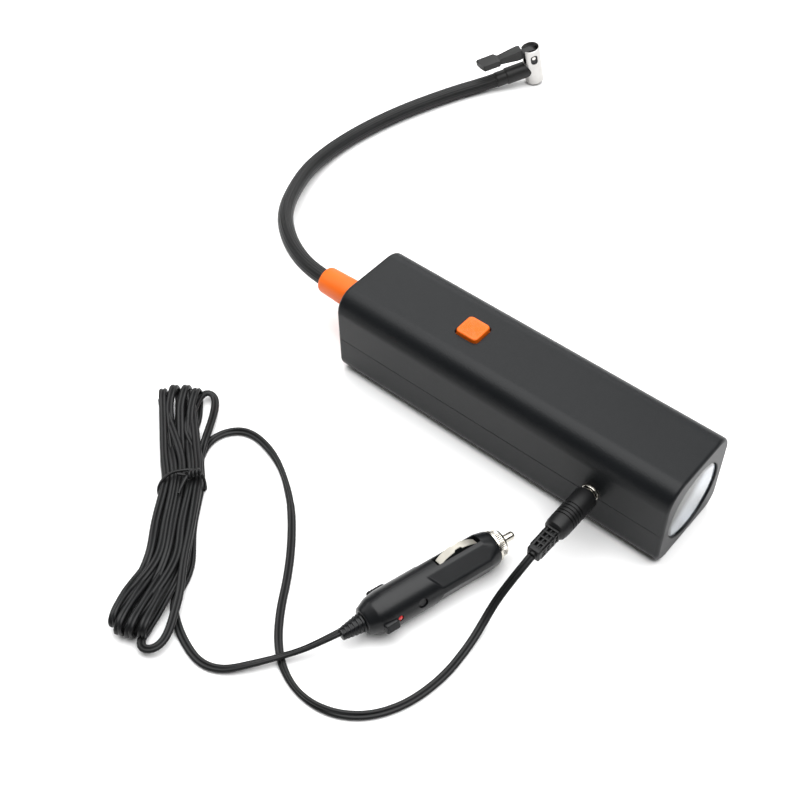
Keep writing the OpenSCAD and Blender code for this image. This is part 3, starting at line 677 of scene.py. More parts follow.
def block(low, high):
    points = [(x, y, z) for x in (low[0], high[0]) for y in (low[1], high[1]) for z in (low[2], high[2])]
    faces = [(0, 1, 3, 2), (4, 6, 7, 5), (0, 4, 5, 1), (2, 3, 7, 6), (0, 2, 6, 4), (1, 5, 7, 3)]
    return points, faces


def seamGroove():
    half, wide = housing["length"] / 2, housing["width"] / 2
    corners = [(-half, -wide), (half, -wide), (half, wide), (-half, wide)]
    outline = roundCorners(corners, housing["endRadius"], 6)
    outer, inner = insetOutline(outline, -0.4), insetOutline(outline, housing["grooveDepth"])
    rise = housing["grooveWidth"] / 2 * (0.4 + housing["grooveDepth"]) / housing["grooveDepth"]
    z = housing["seam"]
    rings = [[Vector((*o, z - rise)), Vector((*o, z + rise)), Vector((*i, z))] for o, i in zip(outer, inner)]
    return joinRings(rings, loop=True)


def turnTo(axis, place):
    # a matrix that lays the X axis along another one
    return Matrix.Translation(place) @ Vector(axis).to_track_quat("X", "Z").to_matrix().to_4x4()


def post(x, y, low, high, inner, outer):
    profile = [(low, inner), (high, inner), (high, outer), (low, outer)]
    return spin(profile, turnTo((0, 0, 1), (x, y, 0)), 24, True)


def attach(piece, shape):
    points, faces = shape
    work = bmesh.new()
    work.from_mesh(piece.data)
    made = [work.verts.new(Vector(p) / 1000) for p in points]
    added = [work.faces.new([made[i] for i in face]) for face in faces]
    bmesh.ops.recalc_face_normals(work, faces=added)
    work.to_mesh(piece.data)
    work.free()
    softenMesh(piece.data, creaseAngle)


def makeShell(name, upper):
    points, faces = housingSolid(0, housing["endRadius"])
    node = "upper_housing" if upper else "lower_housing"
    piece = makePiece(name, points, faces, housingPlastic(), "casing", "housing_plastic", 35, [node])
    carve(piece, seamGroove())
    carve(piece, housingSolid(housing["wall"], 0.5, 3))
    z, gap = housing["seam"], housing["seamGap"] / 2
    cutLow, cutHigh = (-10, z + gap) if upper else (z - gap, 70)
    carve(piece, block((-120, -40, cutLow), (120, 40, cutHigh)))
    lampZ, hoseZ = housing["lampHeight"], housing["hoseHeight"]
    r = housing["lampRadius"]
    carve(piece,
          spin([(101, 0), (101, r), (104.3, r), (104.7, r + 0.12), (105, r + 0.5), (106, r + 1.8), (106, 0)],
                      Matrix.Translation((0, 0, lampZ)), 96))
    carve(piece, spin([(-106, 0), (-106, 10.1), (-105, 9.25), (-104.7, 9.1), (-101, 9.1), (-101, 0)],
                      Matrix.Translation((0, 0, hoseZ)), 64))
    jackX, jackZ = housing["jack"]
    carve(piece, spin([(24, 0), (24, 5.0), (27.2, 5.0), (27.5, 5.25), (28.5, 6.2), (28.5, 0)],
                      turnTo((0, -1, 0), (jackX, 0, jackZ)), 48))
    if upper:
        half = button["side"] / 2 + button["gap"]
        hole = roundCorners([(-half, -half), (half, -half), (half, half), (-half, half)], 3.1, 8)
        levels = [(52, 0), (55.55, 0), (55.85, -0.08), (56, -0.3), (57, -1.4)]
        rings = [[Vector((p.x + button["place"], p.y, z)) for p in insetOutline(hole, inset)]
                 for z, inset in levels]
        carve(piece, joinRings(rings))
        for x, y in housing["screwPlaces"]:
            attach(piece, post(x, y, z + 0.1, 53, 1.45, 3.1))
        for x, y in housing["boardScrewPlaces"]:
            attach(piece, post(x, y, 45.6, 54, 0.95, 2.5))
    else:
        for x, y in housing["screwPlaces"]:
            carve(piece, spin([(-1, 0), (-1, 3.6), (0, 3.1), (0.3, 2.9), (4, 2.9), (4, 0)],
                              turnTo((0, 0, 1), (x, y, 0)), 24))
            attach(piece, spin([(2, 2.9), (13, 2.9), (13, 1.7), (24.9, 1.7), (24.9, 4), (2, 4)],
                               turnTo((0, 0, 1), (x, y, 0)), 24, True))
    softenMesh(piece.data, 32)
    return evenNormals(piece)


# Power button: a square orange cap with shallow rings pressed into its top
button = {
    "place": -33, "side": 13.6, "corner": 2.8, "gap": 0.6, "top": 58,
    "ringPitch": 1.1, "ringDepth": 0.26, "edge": 0.9,
    "colour": (0.76, 0.135, 0.006),
    "second": (0.70, 0.112, 0.004),
}


def orangePlastic():
    return finish("orangePlastic", button["colour"], button["second"], (0.38, 0.5), patch=20, grain=0.25,
                  depth=0.012, pits=0.6, strength=0.35, shine=0.3)


def makeButton():
    half = button["side"] / 2
    outline = roundCorners([(-half, -half), (half, -half), (half, half), (-half, half)], button["corner"], 8)
    top, edge = button["top"], button["edge"]
    levels = [(53.5, 1.0)]
    for k in range(6):
        a = math.pi / 2 * k / 5
        levels.append((top - edge + edge * math.sin(a), 1 - edge * (1 - math.cos(a)) / half))
    inset = edge + 0.3
    while inset < half - 0.3:
        ripple = button["ringDepth"] * (math.cos(math.tau * inset / button["ringPitch"]) - 1) / 2
        levels.append((top + 0.12 * (inset / half) + ripple * min(1, (inset - edge) / 1.0), 1 - inset / half))
        inset += button["ringPitch"] / 6
    rings = [[Vector((p.x * size + button["place"], p.y * size, z)) for p in outline] for z, size in levels]
    flange = roundCorners([(-8, -8), (8, -8), (8, 8), (-8, 8)], 3, 4)
    place = Matrix.Translation((button["place"], 0, 0))
    shapes = [joinRings(rings), prism(flange, 52.1, 53.45, place, 0.3),
              spin([(50.9, 0), (50.9, 2.8), (51.1, 3), (52.2, 3), (52.2, 0)],
                   place @ turnTo((0, 0, 1), (0, 0, 0)), 32)]
    return makePiece("powerButton", *mergeShapes(*shapes), orangePlastic(), "button", "accent_orange", 30,
                     ["power_button"])


# Lamp lens
lens = {"radius": 21.05, "back": 102.0, "front": 104.15, "crown": 0.5}


def clearPlastic():
    return finish("clearLens", (0.90, 0.94, 0.97), (0.86, 0.91, 0.95), (0.03, 0.07), patch=25, grain=0.5,
                  depth=0.004, strength=0.15, extra={"Transmission Weight": 1.0, "IOR": 1.49})


def makeLens():
    r, back, front = lens["radius"], lens["back"], lens["front"]
    profile = [(back, 0), (back, r - 0.2), (back + 0.2, r), (front - 0.5, r), (front - 0.15, r - 0.12),
               (front, r - 0.45)]
    for k in range(1, 9):
        across = (r - 0.45) * (1 - k / 8)
        profile.append((front + lens["crown"] * (1 - (across / r) ** 2), across))
    points, faces = spin(profile, Matrix.Translation((0, 0, housing["lampHeight"])), 96)
    return makePiece("lampLens", points, faces, clearPlastic(), "casing", "clear_lens", 40, ["lens"])


# Hose collar: tapered orange sleeve with a rounded mouth
collar = {
    "profile": [(-100.8, 5.0), (-100.8, 11.4), (-102.6, 11.4), (-102.6, 9.0), (-105, 9.0), (-137.2, 7.95),
                (-138.9, 7.45, 1.6), (-139, 5.6, 1.2), (-138.2, 5.0, 0.3)],
}


def makeCollar():
    corners = [(*c, 0.0) if len(c) < 3 else c for c in collar["profile"]]
    profile = [(p.x, p.y) for p in roundCorners(corners, 0, 6)]
    points, faces = spin(profile, Matrix.Translation((0, 0, housing["hoseHeight"])), 72, True)
    return makePiece("hoseCollar", points, faces, orangePlastic(), "casing", "accent_orange", 32,
                     ["hose_collar"])


# Charging socket ring and the round plug pushed into it
dcPlug = {
    "place": (63.2, 26.7), "front": -30.2, "length": 28.7, "radius": 6.3,
    "grooves": [12.3, 14.3, 16.3, 18.3, 20.3], "grooveDepth": 0.5,
    "reliefLength": 17.5, "reliefWidth": 8.0, "rows": 4, "pitch": 3.3,
    "colour": (0.0050, 0.0052, 0.0055), "second": (0.0070, 0.0072, 0.0075),
}


def plugPlastic():
    return finish("plugPlastic", dcPlug["colour"], dcPlug["second"], (0.36, 0.5), patch=16, grain=0.3,
                  depth=0.02, pits=0.7, strength=0.4, shine=0.24)


def nickelPlate():
    return finish("nickelPlate", (0.66, 0.63, 0.57), (0.58, 0.55, 0.49), (0.16, 0.3), patch=4, grain=0.5,
                  depth=0.006, metal=1.0, strength=0.25)


def makeSocketRing():
    profile = [(25.2, 2.85), (28.3, 2.85), (28.55, 3.1), (28.6, 3.3), (28.6, 4.5), (28.45, 4.8), (28.2, 4.9),
               (25.2, 4.9)]
    x, z = dcPlug["place"]
    points, faces = spin(profile, turnTo((0, -1, 0), (x, 0, z)), 64, True)
    return makePiece("socketRing", points, faces, nickelPlate(), "casing", "nickel", 32, ["dc_jack_ring"])


def makeDcPlug():
    x, z = dcPlug["place"]
    place = turnTo((0, -1, 0), (x, dcPlug["front"], z))
    r, long, deep = dcPlug["radius"], dcPlug["length"], dcPlug["grooveDepth"]
    profile = [(0, 0), (0, 4.9), (0.25, 5.5), (0.9, r - 0.15), (1.6, r), (11.4, r)]
    for g in dcPlug["grooves"]:
        profile += [(g - 0.45, r), (g - 0.3, r - deep), (g + 0.3, r - deep), (g + 0.45, r)]
    profile += [(21.9, r), (25.2, r - 0.1), (27.3, r - 0.5), (long - 0.5, r - 1.4), (long, r - 2.2),
                (long, 0)]
    grip = makePiece("plugGrip", *spin(profile, place, 72), plugPlastic(), "lead", "black_plastic", 30,
                     ["dc_plug_grip"])
    start, reliefLong = long - 0.2, dcPlug["reliefLength"]
    shapes = [spin([(start - 1, 0), (start - 1, 2.7), (start + reliefLong - 1.2, 2.4),
                    (start + reliefLong + 0.2, 2.25), (start + reliefLong + 0.2, 0)], place, 24)]
    for k in range(dcPlug["rows"] + 1):
        half = dcPlug["reliefWidth"] / 2 - 0.12 * k
        square = roundCorners([(-half, -half), (half, -half), (half, half), (-half, half)], 1.3, 4)
        at = start + 0.2 + dcPlug["pitch"] * k
        thick = 1.3 if k < dcPlug["rows"] else 3.0
        turn = place @ Matrix.Rotation(math.pi / 2, 4, "Y")
        shapes.append(prism(square, at, at + thick, turn, 0.3))
    endAt = start + dcPlug["pitch"] * dcPlug["rows"] + 1
    for side in range(4):
        turn = place @ Matrix.Rotation(side * math.pi / 2, 4, "X")
        for across in (-3.1, 0.0, 3.1):
            bar = roundCorners([(start, across - 0.5), (endAt, across - 0.5), (endAt, across + 0.5),
                                (start, across + 0.5)], 0.2, 2)
            shapes.append(prism(bar, 1.8, 3.6, turn, 0.25))
    relief = makePiece("plugRelief", *mergeShapes(*shapes), plugPlastic(), "lead", "black_plastic", 32,
                       ["dc_plug_relief"])
    return grip, relief


# Chuck on the hose end, in its own frame: X towards the hose, Z up the sleeve
chuck = {
    "place": (-183.5, 264.8, 1.24), "turn": 237, "lean": 11,
    "length": 28, "radius": 6.45, "wall": 0.65,
    "pivot": 21.8, "ferruleHeight": 11.3,
    "sleeveColour": (0.56, 0.55, 0.535), "sleeveSecond": (0.48, 0.47, 0.455),
    "leverColour": (0.0065, 0.0066, 0.0065), "leverSecond": (0.0100, 0.0101, 0.0098),
}


def chuckFrame():
    return (Matrix.Translation(chuck["place"]) @ Matrix.Rotation(math.radians(chuck["turn"]), 4, "Z")
            @ Matrix.Rotation(math.radians(chuck["lean"]), 4, "Y"))


def satinChrome():
    return finish("satinChrome", chuck["sleeveColour"], chuck["sleeveSecond"], (0.34, 0.46), patch=7,
                  grain=0.18, depth=0.012, metal=1.0, strength=0.35)


def leverPlastic():
    return finish("leverPlastic", chuck["leverColour"], chuck["leverSecond"], (0.42, 0.55), patch=8,
                  grain=0.25, depth=0.02, pits=0.5, strength=0.4, shine=0.3)


def placed(shape, place):
    points, faces = shape
    return [place @ Vector(p) for p in points], faces


def makeSleeve():
    place = chuckFrame()
    r, wall, long = chuck["radius"], chuck["wall"], chuck["length"]
    inner = r - wall
    profile = [(0.8, inner), (long - 0.12, inner), (long, inner + 0.15), (long, r - 0.18), (long - 0.15, r),
               (1.4, r), (0.6, r - 0.15), (0.15, r - 0.55), (0, r - 1.1), (0, 4.5), (0.2, 4.4), (0.8, 4.4)]
    up = place @ turnTo((0, 0, 1), (0, 0, 0))
    piece = makePiece("chuckSleeve", *spin(profile, up, 96, True), satinChrome(), "casing", "chrome_sleeve",
                      32, ["chuck_sleeve"])
    window = roundCorners([(18, -3.7, 1.6), (40, -3.7, 0), (40, 3.7, 0), (18, 3.7, 1.6)], 0, 6)
    turn = place @ Matrix.Rotation(-math.pi / 2, 4, "Y")
    carve(piece, prism([Vector((p.x, -p.y)) for p in window], -9, 0, turn))
    slotted = roundCorners([(-2.5, 17.4, 2.4), (2.5, 17.4, 2.4), (2.5, 24.4, 2.4), (-2.5, 24.4, 2.4)], 0, 8)
    carve(piece, prism(slotted, -9, 9, place @ Matrix.Rotation(math.pi / 2, 4, "X")))
    carve(piece, spin([(1, 0), (1, 3), (9, 3), (9, 0)],
                      place @ Matrix.Translation((0, 0, chuck["ferruleHeight"])), 32))
    softenMesh(piece.data, 30)
    return evenNormals(piece)


def makeFerrule():
    place = chuckFrame() @ Matrix.Translation((0, 0, chuck["ferruleHeight"]))
    profile = [(2, 1.2), (2, 5.55), (6.6, 5.85), (19.4, 5.85), (20.1, 5.7), (20.5, 5.3), (21.2, 5.15),
               (23.0, 5.25), (27.2, 5.25), (27.8, 5.1), (28, 4.9), (28, 4.2), (12, 4.2), (12, 1.2)]
    piece = makePiece("hoseFerrule", *spin(profile, place, 64, True), leverPlastic(), "casing", "hose_rubber",
                      30, ["hose_ferrule"])
    r = chuck["radius"] + 0.03
    carve(piece, spin([(-15, 0), (-15, r), (20, r), (20, 0)], place @ turnTo((0, 0, 1), (0, 0, 0)), 64))
    softenMesh(piece.data, 30)
    return evenNormals(piece)


def makeLever():
    place = chuckFrame()
    pivot = chuck["pivot"]
    side = []
    for k in range(0, 13):
        a = math.radians(180 + 15 * k)
        side.append((3.7 * math.cos(a), pivot + 3.7 * math.sin(a)))
    side += [(6.6, 23.0), (10.5, 23.2), (22.5, 24.5), (25, 25.0), (37.3, 25.0), (38.3, 25.9), (38.3, 28.5),
             (37.3, 29.3), (25.5, 29.4), (24, 28.7), (8, 30.3), (7.0, 29.9), (6.4, 28.6), (6.2, 26.8),
             (0, 26.8)]
    for k in range(1, 7):
        a = math.radians(90 + 15 * k)
        side.append((5.0 * math.cos(a), pivot + 5.0 * math.sin(a)))
    sideOutline = [Vector(p[:2]) for p in side]
    plan = roundCorners([(-6, -2.6, 0), (6.2, -2.6, 0.6), (8.6, -3.6, 0.8), (12, -3.7, 1), (23.2, -2.9, 0.6),
                         (25.5, -5.0, 0.5), (39, -5.0, 1.2), (35.5, 5.0, 1.2), (24.3, 5.0, 0.8),
                         (23.0, 2.9, 0.6), (12, 3.7, 1), (8.6, 3.6, 0.8), (6.2, 2.6, 0.6),
                         (-6, 2.6, 0)], 0, 4)
    body = prism(sideOutline, -6, 6, place @ Matrix.Rotation(math.pi / 2, 4, "X"))
    piece = makePiece("chuckLever", *body, leverPlastic(), "lever", "black_plastic", 32, ["chuck_lever"])
    carve(piece, prism(plan, 10, 40, place), "INTERSECT")
    carve(piece, spin([(-5, 0), (-5, 1.3), (5, 1.3), (5, 0)], place @ turnTo((0, 1, 0), (0, 0, pivot)), 24))
    edge = piece.modifiers.new("edge", "BEVEL")
    edge.width = 0.00045
    edge.segments = 3
    edge.limit_method = "ANGLE"
    edge.angle_limit = math.radians(38)
    edge.harden_normals = True
    return piece


# Lighter plug, in its own frame: X along it to the tip, its leaf on the upper side
plug = {
    "place": (18.5, -147.9, 10.5), "turn": 74, "roll": -20,
    "radius": 10.3, "length": 76,
    "facetFrom": 37.5, "facetAngle": 54, "facetDistance": 9.25,
    "slot": (43.5, 69, 3.15),
    "screwPlace": 28.5, "lampPlace": (15.5, -1.0),
    "colour": (0.0042, 0.0047, 0.0055), "second": (0.0060, 0.0066, 0.0074),
    "lampColour": (0.75, 0.01, 0.012),
}


def plugFrame():
    return (Matrix.Translation(plug["place"]) @ Matrix.Rotation(math.radians(plug["turn"]), 4, "Z")
            @ Matrix.Rotation(math.radians(plug["roll"]), 4, "X"))


def bakedPlastic():
    return finish("lighterPlugPlastic", plug["colour"], plug["second"], (0.26, 0.38), patch=14, grain=0.25,
                  depth=0.03, pits=0.6, strength=0.5, shine=0.26)


def plugRadius(x, angle):
    # angle in degrees from the upper side
    r, long = plug["radius"], plug["length"]
    if x < 12:
        r = 6.6 + (x / 6) * 2.8 if x < 6 else 9.4 + (x - 6) / 6 * 0.9
    if x > long - 7:
        r = plug["radius"] - (x - long + 7) / 7 * 1.7
    away = min(abs(abs(angle) - plug["facetAngle"]), abs(abs(angle) - 180 + plug["facetAngle"]))
    start = plug["facetFrom"] + 0.07 * (abs(angle) - plug["facetAngle"] if abs(angle) < 90 else
                                       126 - abs(angle)) * 1.4
    depth = min(max((x - start) / 1.2, 0), 1)
    flat = plug["facetDistance"] / math.cos(math.radians(min(away, 40)))
    return r - max(r - flat, 0) * depth if away < 40 else r


def plugSolid():
    stations = [0, 0.35, 0.8, 2, 4, 5.6, 6.4, 8, 10, 11.6, 12.4, 15, 20, 25, 30, 34]
    stations += [34.5 + 0.4 * k for k in range(20)]
    stations += [43, 46, 50, 55, 60, 65, 68.6, 69.4, 71, 73, 75, 75.7, 76]
    rings = []
    for x in stations:
        ease = {0: 0.9, 0.35: 0.3, 75.7: 0.25, 76: 0.8}.get(x, 0)
        ring = []
        for k in range(120):
            angle = -180 + 3 * k
            r = plugRadius(x, angle) - ease
            a = math.radians(angle)
            ring.append(Vector((x, -r * math.sin(a), r * math.cos(a))))
        rings.append(ring)
    return joinRings(rings)


def makePlugShell(name, side):
    place = plugFrame()
    node = "plug_shell_left" if side > 0 else "plug_shell_right"
    piece = makePiece(name, *placed(plugSolid(), place), bakedPlastic(), "lead", "plug_plastic", 32, [node])
    low, high, wide = plug["slot"]
    slotOutline = roundCorners([(low, -wide), (high, -wide), (high, wide), (low, wide)], 0.5, 3)
    carve(piece, prism(slotOutline, -14, 14, place))
    carve(piece,
          placed(spin([(-1, 0), (-1, 3), (13, 3), (13, 6.6), (40, 6.6), (40, 4.2), (74, 4.2), (74, 6.2),
                              (78, 6.2), (78, 0)], None, 40), place))
    if side < 0:
        carve(piece, spin([(-14, 0), (-14, 3.1), (-10.1, 2.6), (-8, 2.5), (-8, 1.35), (0, 1.35), (0, 0)],
                          place @ turnTo((0, 1, 0), (plug["screwPlace"], 0, 0)), 32))
        carve(piece, spin([(-14, 0), (-14, 1.55), (0, 1.55), (0, 0)],
                          place @ turnTo((0, 1, 0), (plug["lampPlace"][0], 0, plug["lampPlace"][1])), 24))
    split = 0.05 * side
    carve(piece, placed(block((-5, split - 20, -20), (80, split, 20)) if side > 0
                        else block((-5, split, -20), (80, split + 20, 20)), place))
    pad = roundCorners([(6.5, -3.1, 1.8), (20, -3.1, 2.8), (20, 3.1, 2.8), (6.5, 3.1, 1.8)], 0, 6)
    turn = place @ Matrix.Rotation(-math.pi / 2 * side, 4, "X")
    if side > 0:
        attach(piece, prism([Vector((p.x * 0.8 + 4.2, p.y - 2.2)) for p in pad], 8.0, 11.6, turn, 1.2))
        for k in range(4):
            ridge = roundCorners([(11 + 1.9 * k, -4.5), (11.9 + 1.9 * k, -4.5), (11.9 + 1.9 * k, 0),
                                  (11 + 1.9 * k, 0)], 0.3, 2)
            attach(piece, prism(ridge, 11.0, 12.0, turn, 0.25))
    else:
        attach(piece, prism([Vector((p.x * 0.6 + 2.4, p.y * 0.9 - 2.4)) for p in pad], 8.0, 11.6, turn, 1.3))
    softenMesh(piece.data, 28)
    return evenNormals(piece)


# Ground leaves of the lighter plug: bowed nickel strips, narrower at the notch
leaf = {
    "start": 45.5, "length": 22.0, "steps": 56, "thick": 0.45,
    "crest": 56.5, "upperRise": 11.8, "lowerRise": 10.3,
    # half widths along the strip
    "widths": [(45.5, 2.5), (54.4, 2.6), (54.7, 1.5), (58.2, 1.5), (58.5, 2.6), (64, 2.4), (67.5, 1.8)],
}


def makeLeaf(name, side, body, node):
    place = plugFrame() @ Matrix.Rotation(0 if side > 0 else math.pi, 4, "X")
    top = leaf["upperRise"] if side > 0 else leaf["lowerRise"]
    widths, count, thick = leaf["widths"], leaf["steps"], leaf["thick"]
    rings = []
    for k in range(count + 1):
        x = leaf["start"] + leaf["length"] * k / count
        for (x0, w0), (x1, w1) in zip(widths, widths[1:]):
            if x0 <= x <= x1:
                half = w0 + (w1 - w0) * (x - x0) / (x1 - x0)
                break
        rise = top - (x - leaf["crest"]) ** 2 / 36.0
        far = 2.5 * min(1, half / 2)
        edges = ((-half, rise), (far, rise), (far, rise - thick), (-half, rise - thick))
        rings.append([place @ Vector((x, y, z)) for y, z in edges])
    # the leaves get a lighter copy of the plug's nickel: painted light so they read as lit in the slot; only
    # their rougher finish is their own
    leafLitNickel = finish("leafNickelPaintedLight", (0.80, 0.77, 0.69), (0.70, 0.67, 0.59), (0.4, 0.55), patch=5, grain=0.4,
                   depth=0.006, metal=1.0, strength=0.25)
    return makePiece(name, *joinRings(rings), leafLitNickel, body, "nickel", 40, [node])


def makeTip():
    place = plugFrame()
    long = plug["length"]
    profile = [(0.1, 6.4), (0.1, 8.15), (0.35, 8.25), (1.05, 8.25), (1.25, 8.1), (1.4, 7.2)]
    rings = []
    for k in range(144):
        a = math.tau * k / 144
        tooth = 0.14 * (1 if k % 3 else -1)
        ring = list(profile)
        ring += [(1.7, 7.05 + tooth), (4.3, 6.95 + tooth), (4.7, 6.7), (5.3, 6.45), (5.6, 6.0), (5.6, 3.4),
                 (5.4, 3.3), (4.1, 3.3), (4.1, 5.6), (0.1, 5.6)]
        rings.append([place @ Vector((long + x, r * math.cos(a), r * math.sin(a))) for x, r in ring])
    makePiece("tipRing", *joinRings(rings, loop=True), nickelPlate(), "cap", "nickel", 32, ["tip_ring"])
    pin = [(1.6, 0), (1.6, 3.5), (3.2, 3.5), (3.2, 2.25), (11.6, 2.25), (12.2, 2.1), (12.7, 1.7), (13, 1.1),
           (13, 0)]
    makePiece("tipPin", *placed(spin([(long + x, r) for x, r in pin], None, 40), place), nickelPlate(),
              "contact", "nickel", 32, ["tip_contact"])


def makePlugRelief():
    place = plugFrame()
    shapes = [placed(spin([(-12.1, 0), (-12.1, 2.1), (-11.6, 2.4), (0.4, 4.2), (12, 2.9), (12, 0)], None, 32),
                     place)]
    for k in range(6):
        at, r = -12 + 2.15 * k, 3.1 + 0.36 * k
        shapes.append(placed(spin([(at, 1), (at, r - 0.35), (at + 0.25, r), (at + 1.0, r + 0.1),
                                   (at + 1.25, r - 0.25), (at + 1.25, 1)], None, 40), place))
    for quarter in range(4):
        turn = place @ Matrix.Rotation(quarter * math.pi / 2 + math.pi / 4, 4, "X")
        rings = []
        for x, r in ((-11.6, 2.95), (0.2, 4.75)):
            edges = ((-0.7, 1.5), (0.7, 1.5), (0.6, r), (-0.6, r))
            rings.append([turn @ Vector((x, y, z)) for y, z in edges])
        shapes.append(joinRings(rings))
    return makePiece("plugCordRelief", *mergeShapes(*shapes), bakedPlastic(), "lead", "cord_rubber", 32,
                     ["plug_relief"])


def makePlugLamp():
    place = plugFrame()
    x, z = plug["lampPlace"]
    dome = [(5, 0), (5, 1.45), (9.3, 1.45), (9.7, 1.25), (9.95, 0.8), (10.05, 0)]
    red = finish("redLamp", plug["lampColour"], (0.55, 0.006, 0.01), (0.1, 0.2), patch=2, grain=0.4,
                 depth=0.01, coat=0.6, strength=0.2)
    return makePiece("plugLamp", *spin(dome, place @ turnTo((0, -1, 0), (x, 0, z)), 32), red, "lead",
                     "red_lamp", 32, ["plug_lamp"])


# Twist tie: a coated wire once round the hank, its ends twisted together on top
tie = {
    "radius": 0.85,
    "loop": [(9.6, -0.4, 11.4), (5, -1.2, 12.0), (0, -1.0, 12.1), (-5, -0.2, 11.6), (-9, 2.2, 10.2),
             (-11.9, 5.4, 7.4), (-12.2, 7.4, 4.0), (-11.0, 7.6, 1.2), (-6, 6.0, 0.75), (0, 4.6, 0.75),
             (6, 4.0, 0.75), (11.2, 4.4, 1.4), (11.9, 4.4, 4.5), (11.7, 3.2, 8.0), (10.4, 1.2, 11.0),
             (7.6, 0.9, 12.4), (4.6, 2.2, 12.9), (2.4, 5.6, 12.6), (0.6, 9.4, 11.4), (-0.6, 12.4, 10.2)],
    "stub": [(9.4, 0.6, 12.0), (5.4, 2.4, 11.9), (1.2, 1.9, 12.0), (-1.8, 1.2, 12.1)],
    "twistSteps": 40, "twistTurn": 0.62,
    "colour": (0.0050, 0.0050, 0.0053), "second": (0.0075, 0.0075, 0.0078),
}


def makeTie():
    down = Vector((67, -72, 0)).normalized()
    across = Vector((-down.y, down.x, 0))
    centre = Vector((*hank["tie"], 0))

    def lay(points):
        return [centre + across * u + down * v + Vector((0, 0, z)) for u, v, z in points]

    section = [(tie["radius"] * math.cos(math.tau * k / 10),
                tie["radius"] * 0.9 * math.sin(math.tau * k / 10))
               for k in range(10)]
    shapes = [sweepSection(smoothRoute(lay(tie["loop"]), 0.8, 1), section),
              sweepSection(smoothRoute(lay(tie["stub"]), 0.8, 1), section)]
    steps, turn = tie["twistSteps"], tie["twistTurn"]
    turns = [(10.4 - 7.4 * k / steps,
              0.6 + 2.4 * (k / steps) + 1.5 * math.sin(k * turn),
              12.8 + 1.4 * math.cos(k * turn))
             for k in range(steps + 1)]
    shapes.append(sweepSection(smoothRoute(lay(turns), 0.5, 0), section))
    vinyl = finish("tieVinyl", tie["colour"], tie["second"], (0.4, 0.5), patch=4, grain=0.3, depth=0.01,
                   shine=0.3)
    return makePiece("twistTie", *mergeShapes(*shapes), vinyl, "lead", "tie_plastic", 50, ["twist_tie"])


for shellName, isUpper in (("upperShell", True), ("lowerShell", False)):
    makeShell(shellName, isUpper)
makeButton()
makeLens()
makeCollar()
print("housing, button, lens and collar made")

makeSocketRing()
makeDcPlug()
makeSleeve()
makeFerrule()
makeLever()
print("round plug and chuck made")

makePlugShell("plugShellLeft", 1)
makePlugShell("plugShellRight", -1)
makeLeaf("leafTop", 1, "leaf_top", "ground_spring_top")
makeLeaf("leafBottom", -1, "leaf_bottom", "ground_spring_bottom")
makeTip()
makePlugRelief()
makePlugLamp()
makeTie()
print("lighter plug and tie made")


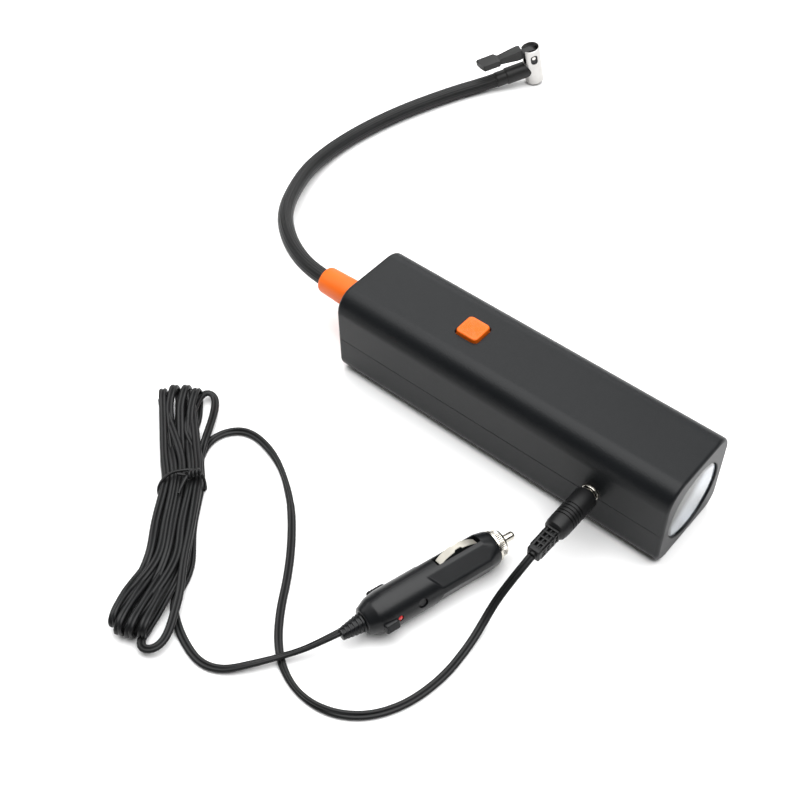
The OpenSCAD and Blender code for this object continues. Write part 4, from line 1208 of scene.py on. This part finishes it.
# Finishes of the solids that stay as they are, most of them inside
innerFinishes = {
    "steelPlate": (((0.50, 0.51, 0.53), (0.42, 0.43, 0.45), (0.22, 0.36)),
                   {"patch": 6, "grain": 0.4, "depth": 0.008, "metal": 1.0, "strength": 0.3},
                   ["housing_screws", "board_screws", "motor_can", "motor_shaft", "crank_axle", "crank_pin",
                    "tip_spring"]),
    # the plug screw's near-black colour is painted shade, standing in for the dark of its deep screw hole
    "screwHolePaintedShade": (((0.02, 0.02, 0.021), (0.03, 0.03, 0.031), (0.35, 0.5)),
                       {"patch": 2, "grain": 0.3, "depth": 0.01, "metal": 0.5, "strength": 0.3},
                       ["plug_screw"]),
    "mirrorReflector": (((0.50, 0.52, 0.56), (0.43, 0.45, 0.49), (0.4, 0.52)),
                        {"patch": 3, "grain": 1.2, "depth": 0.02, "metal": 1.0, "strength": 0.3},
                        ["reflector"]),
    "boardGreen": (((0.012, 0.11, 0.03), (0.02, 0.17, 0.05), (0.3, 0.42)),
                   {"patch": 3, "grain": 0.5, "depth": 0.02, "coat": 0.3}, ["led_board", "main_board"]),
    "ledYellow": (((0.85, 0.62, 0.08), (0.9, 0.72, 0.2), (0.25, 0.35)),
                  {"patch": 1.5, "grain": 0.3, "depth": 0.01, "coat": 0.5}, ["led_emitter"]),
    "socketBlack": (((0.014, 0.014, 0.015), (0.02, 0.02, 0.021), (0.4, 0.5)),
                    {"patch": 6, "grain": 0.4, "depth": 0.015, "shine": 0.3},
                    ["dc_jack", "switch_body", "chuck_core"]),
    "pinNickel": (((0.68, 0.66, 0.61), (0.6, 0.58, 0.53), (0.14, 0.26)),
                  {"patch": 3, "grain": 0.4, "depth": 0.005, "metal": 1.0, "strength": 0.2},
                  ["jack_pin", "chuck_pin", "dc_plug_barrel"]),
    "plungerGrey": (((0.20, 0.20, 0.21), (0.26, 0.26, 0.27), (0.4, 0.5)),
                    {"patch": 3, "grain": 0.3, "depth": 0.01}, ["switch_plunger"]),
    "ferrite": (((0.045, 0.045, 0.05), (0.07, 0.07, 0.075), (0.5, 0.65)),
                {"patch": 2.5, "grain": 0.25, "depth": 0.03}, ["motor_magnets"]),
    "rotorCopper": (((0.62, 0.27, 0.12), (0.48, 0.2, 0.09), (0.25, 0.4)),
                    {"patch": 3, "grain": 0.35, "depth": 0.05, "metal": 1.0}, ["motor_rotor"]),
    "turnedBrass": (((0.70, 0.50, 0.20), (0.6, 0.42, 0.16), (0.2, 0.34)),
                    {"patch": 4, "grain": 0.3, "depth": 0.008, "metal": 1.0, "strength": 0.3},
                    ["motor_pinion", "crank_bush", "hose_barb", "chuck_piston"]),
    "gearIvory": (((0.72, 0.70, 0.62), (0.66, 0.64, 0.56), (0.4, 0.52)),
                  {"patch": 5, "grain": 0.4, "depth": 0.015}, ["motor_end_cap", "crank_gear"]),
    "castAlloy": (((0.46, 0.47, 0.49), (0.38, 0.39, 0.41), (0.42, 0.6)),
                  {"patch": 5, "grain": 0.35, "depth": 0.05, "metal": 1.0, "pits": 0.8},
                  ["pump_frame", "piston_rod", "pump_cylinder", "cylinder_head"]),
    "sealRubber": (((0.014, 0.014, 0.0145), (0.022, 0.022, 0.0225), (0.6, 0.75)),
                   {"patch": 4, "grain": 0.3, "depth": 0.02}, ["piston_cup", "chuck_grommet"]),
    "cellWrap": (((0.02, 0.20, 0.16), (0.03, 0.26, 0.2), (0.3, 0.42)),
                 {"patch": 9, "grain": 0.6, "depth": 0.02, "coat": 0.4}, ["battery_cells"]),
    "holderGrey": (((0.045, 0.045, 0.048), (0.06, 0.06, 0.063), (0.4, 0.5)),
                   {"patch": 7, "grain": 0.4, "depth": 0.015}, ["battery_holder"]),
    "fuseGlass": (((0.62, 0.70, 0.74), (0.56, 0.64, 0.68), (0.06, 0.14)),
                  {"patch": 3, "grain": 0.4, "depth": 0.004, "coat": 0.8}, ["plug_fuse"]),
}

for finishName, (tones, details, nodeNames) in innerFinishes.items():
    coating = finish(finishName, *tones, **details)
    for nodeName in nodeNames:
        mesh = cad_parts[nodeName].data
        for slotNumber in range(len(mesh.materials)):
            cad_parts[nodeName].material_slots[slotNumber].link = "OBJECT"
            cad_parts[nodeName].material_slots[slotNumber].material = coating
print("inner finishes set")

hoseRoute[0] / 1000
round(routeLength(hoseRoute) / 1000, 2)
[p / 1000 for p in hoseRoute]
leadPath[0] / 1000
[p / 1000 for p in leadPath]
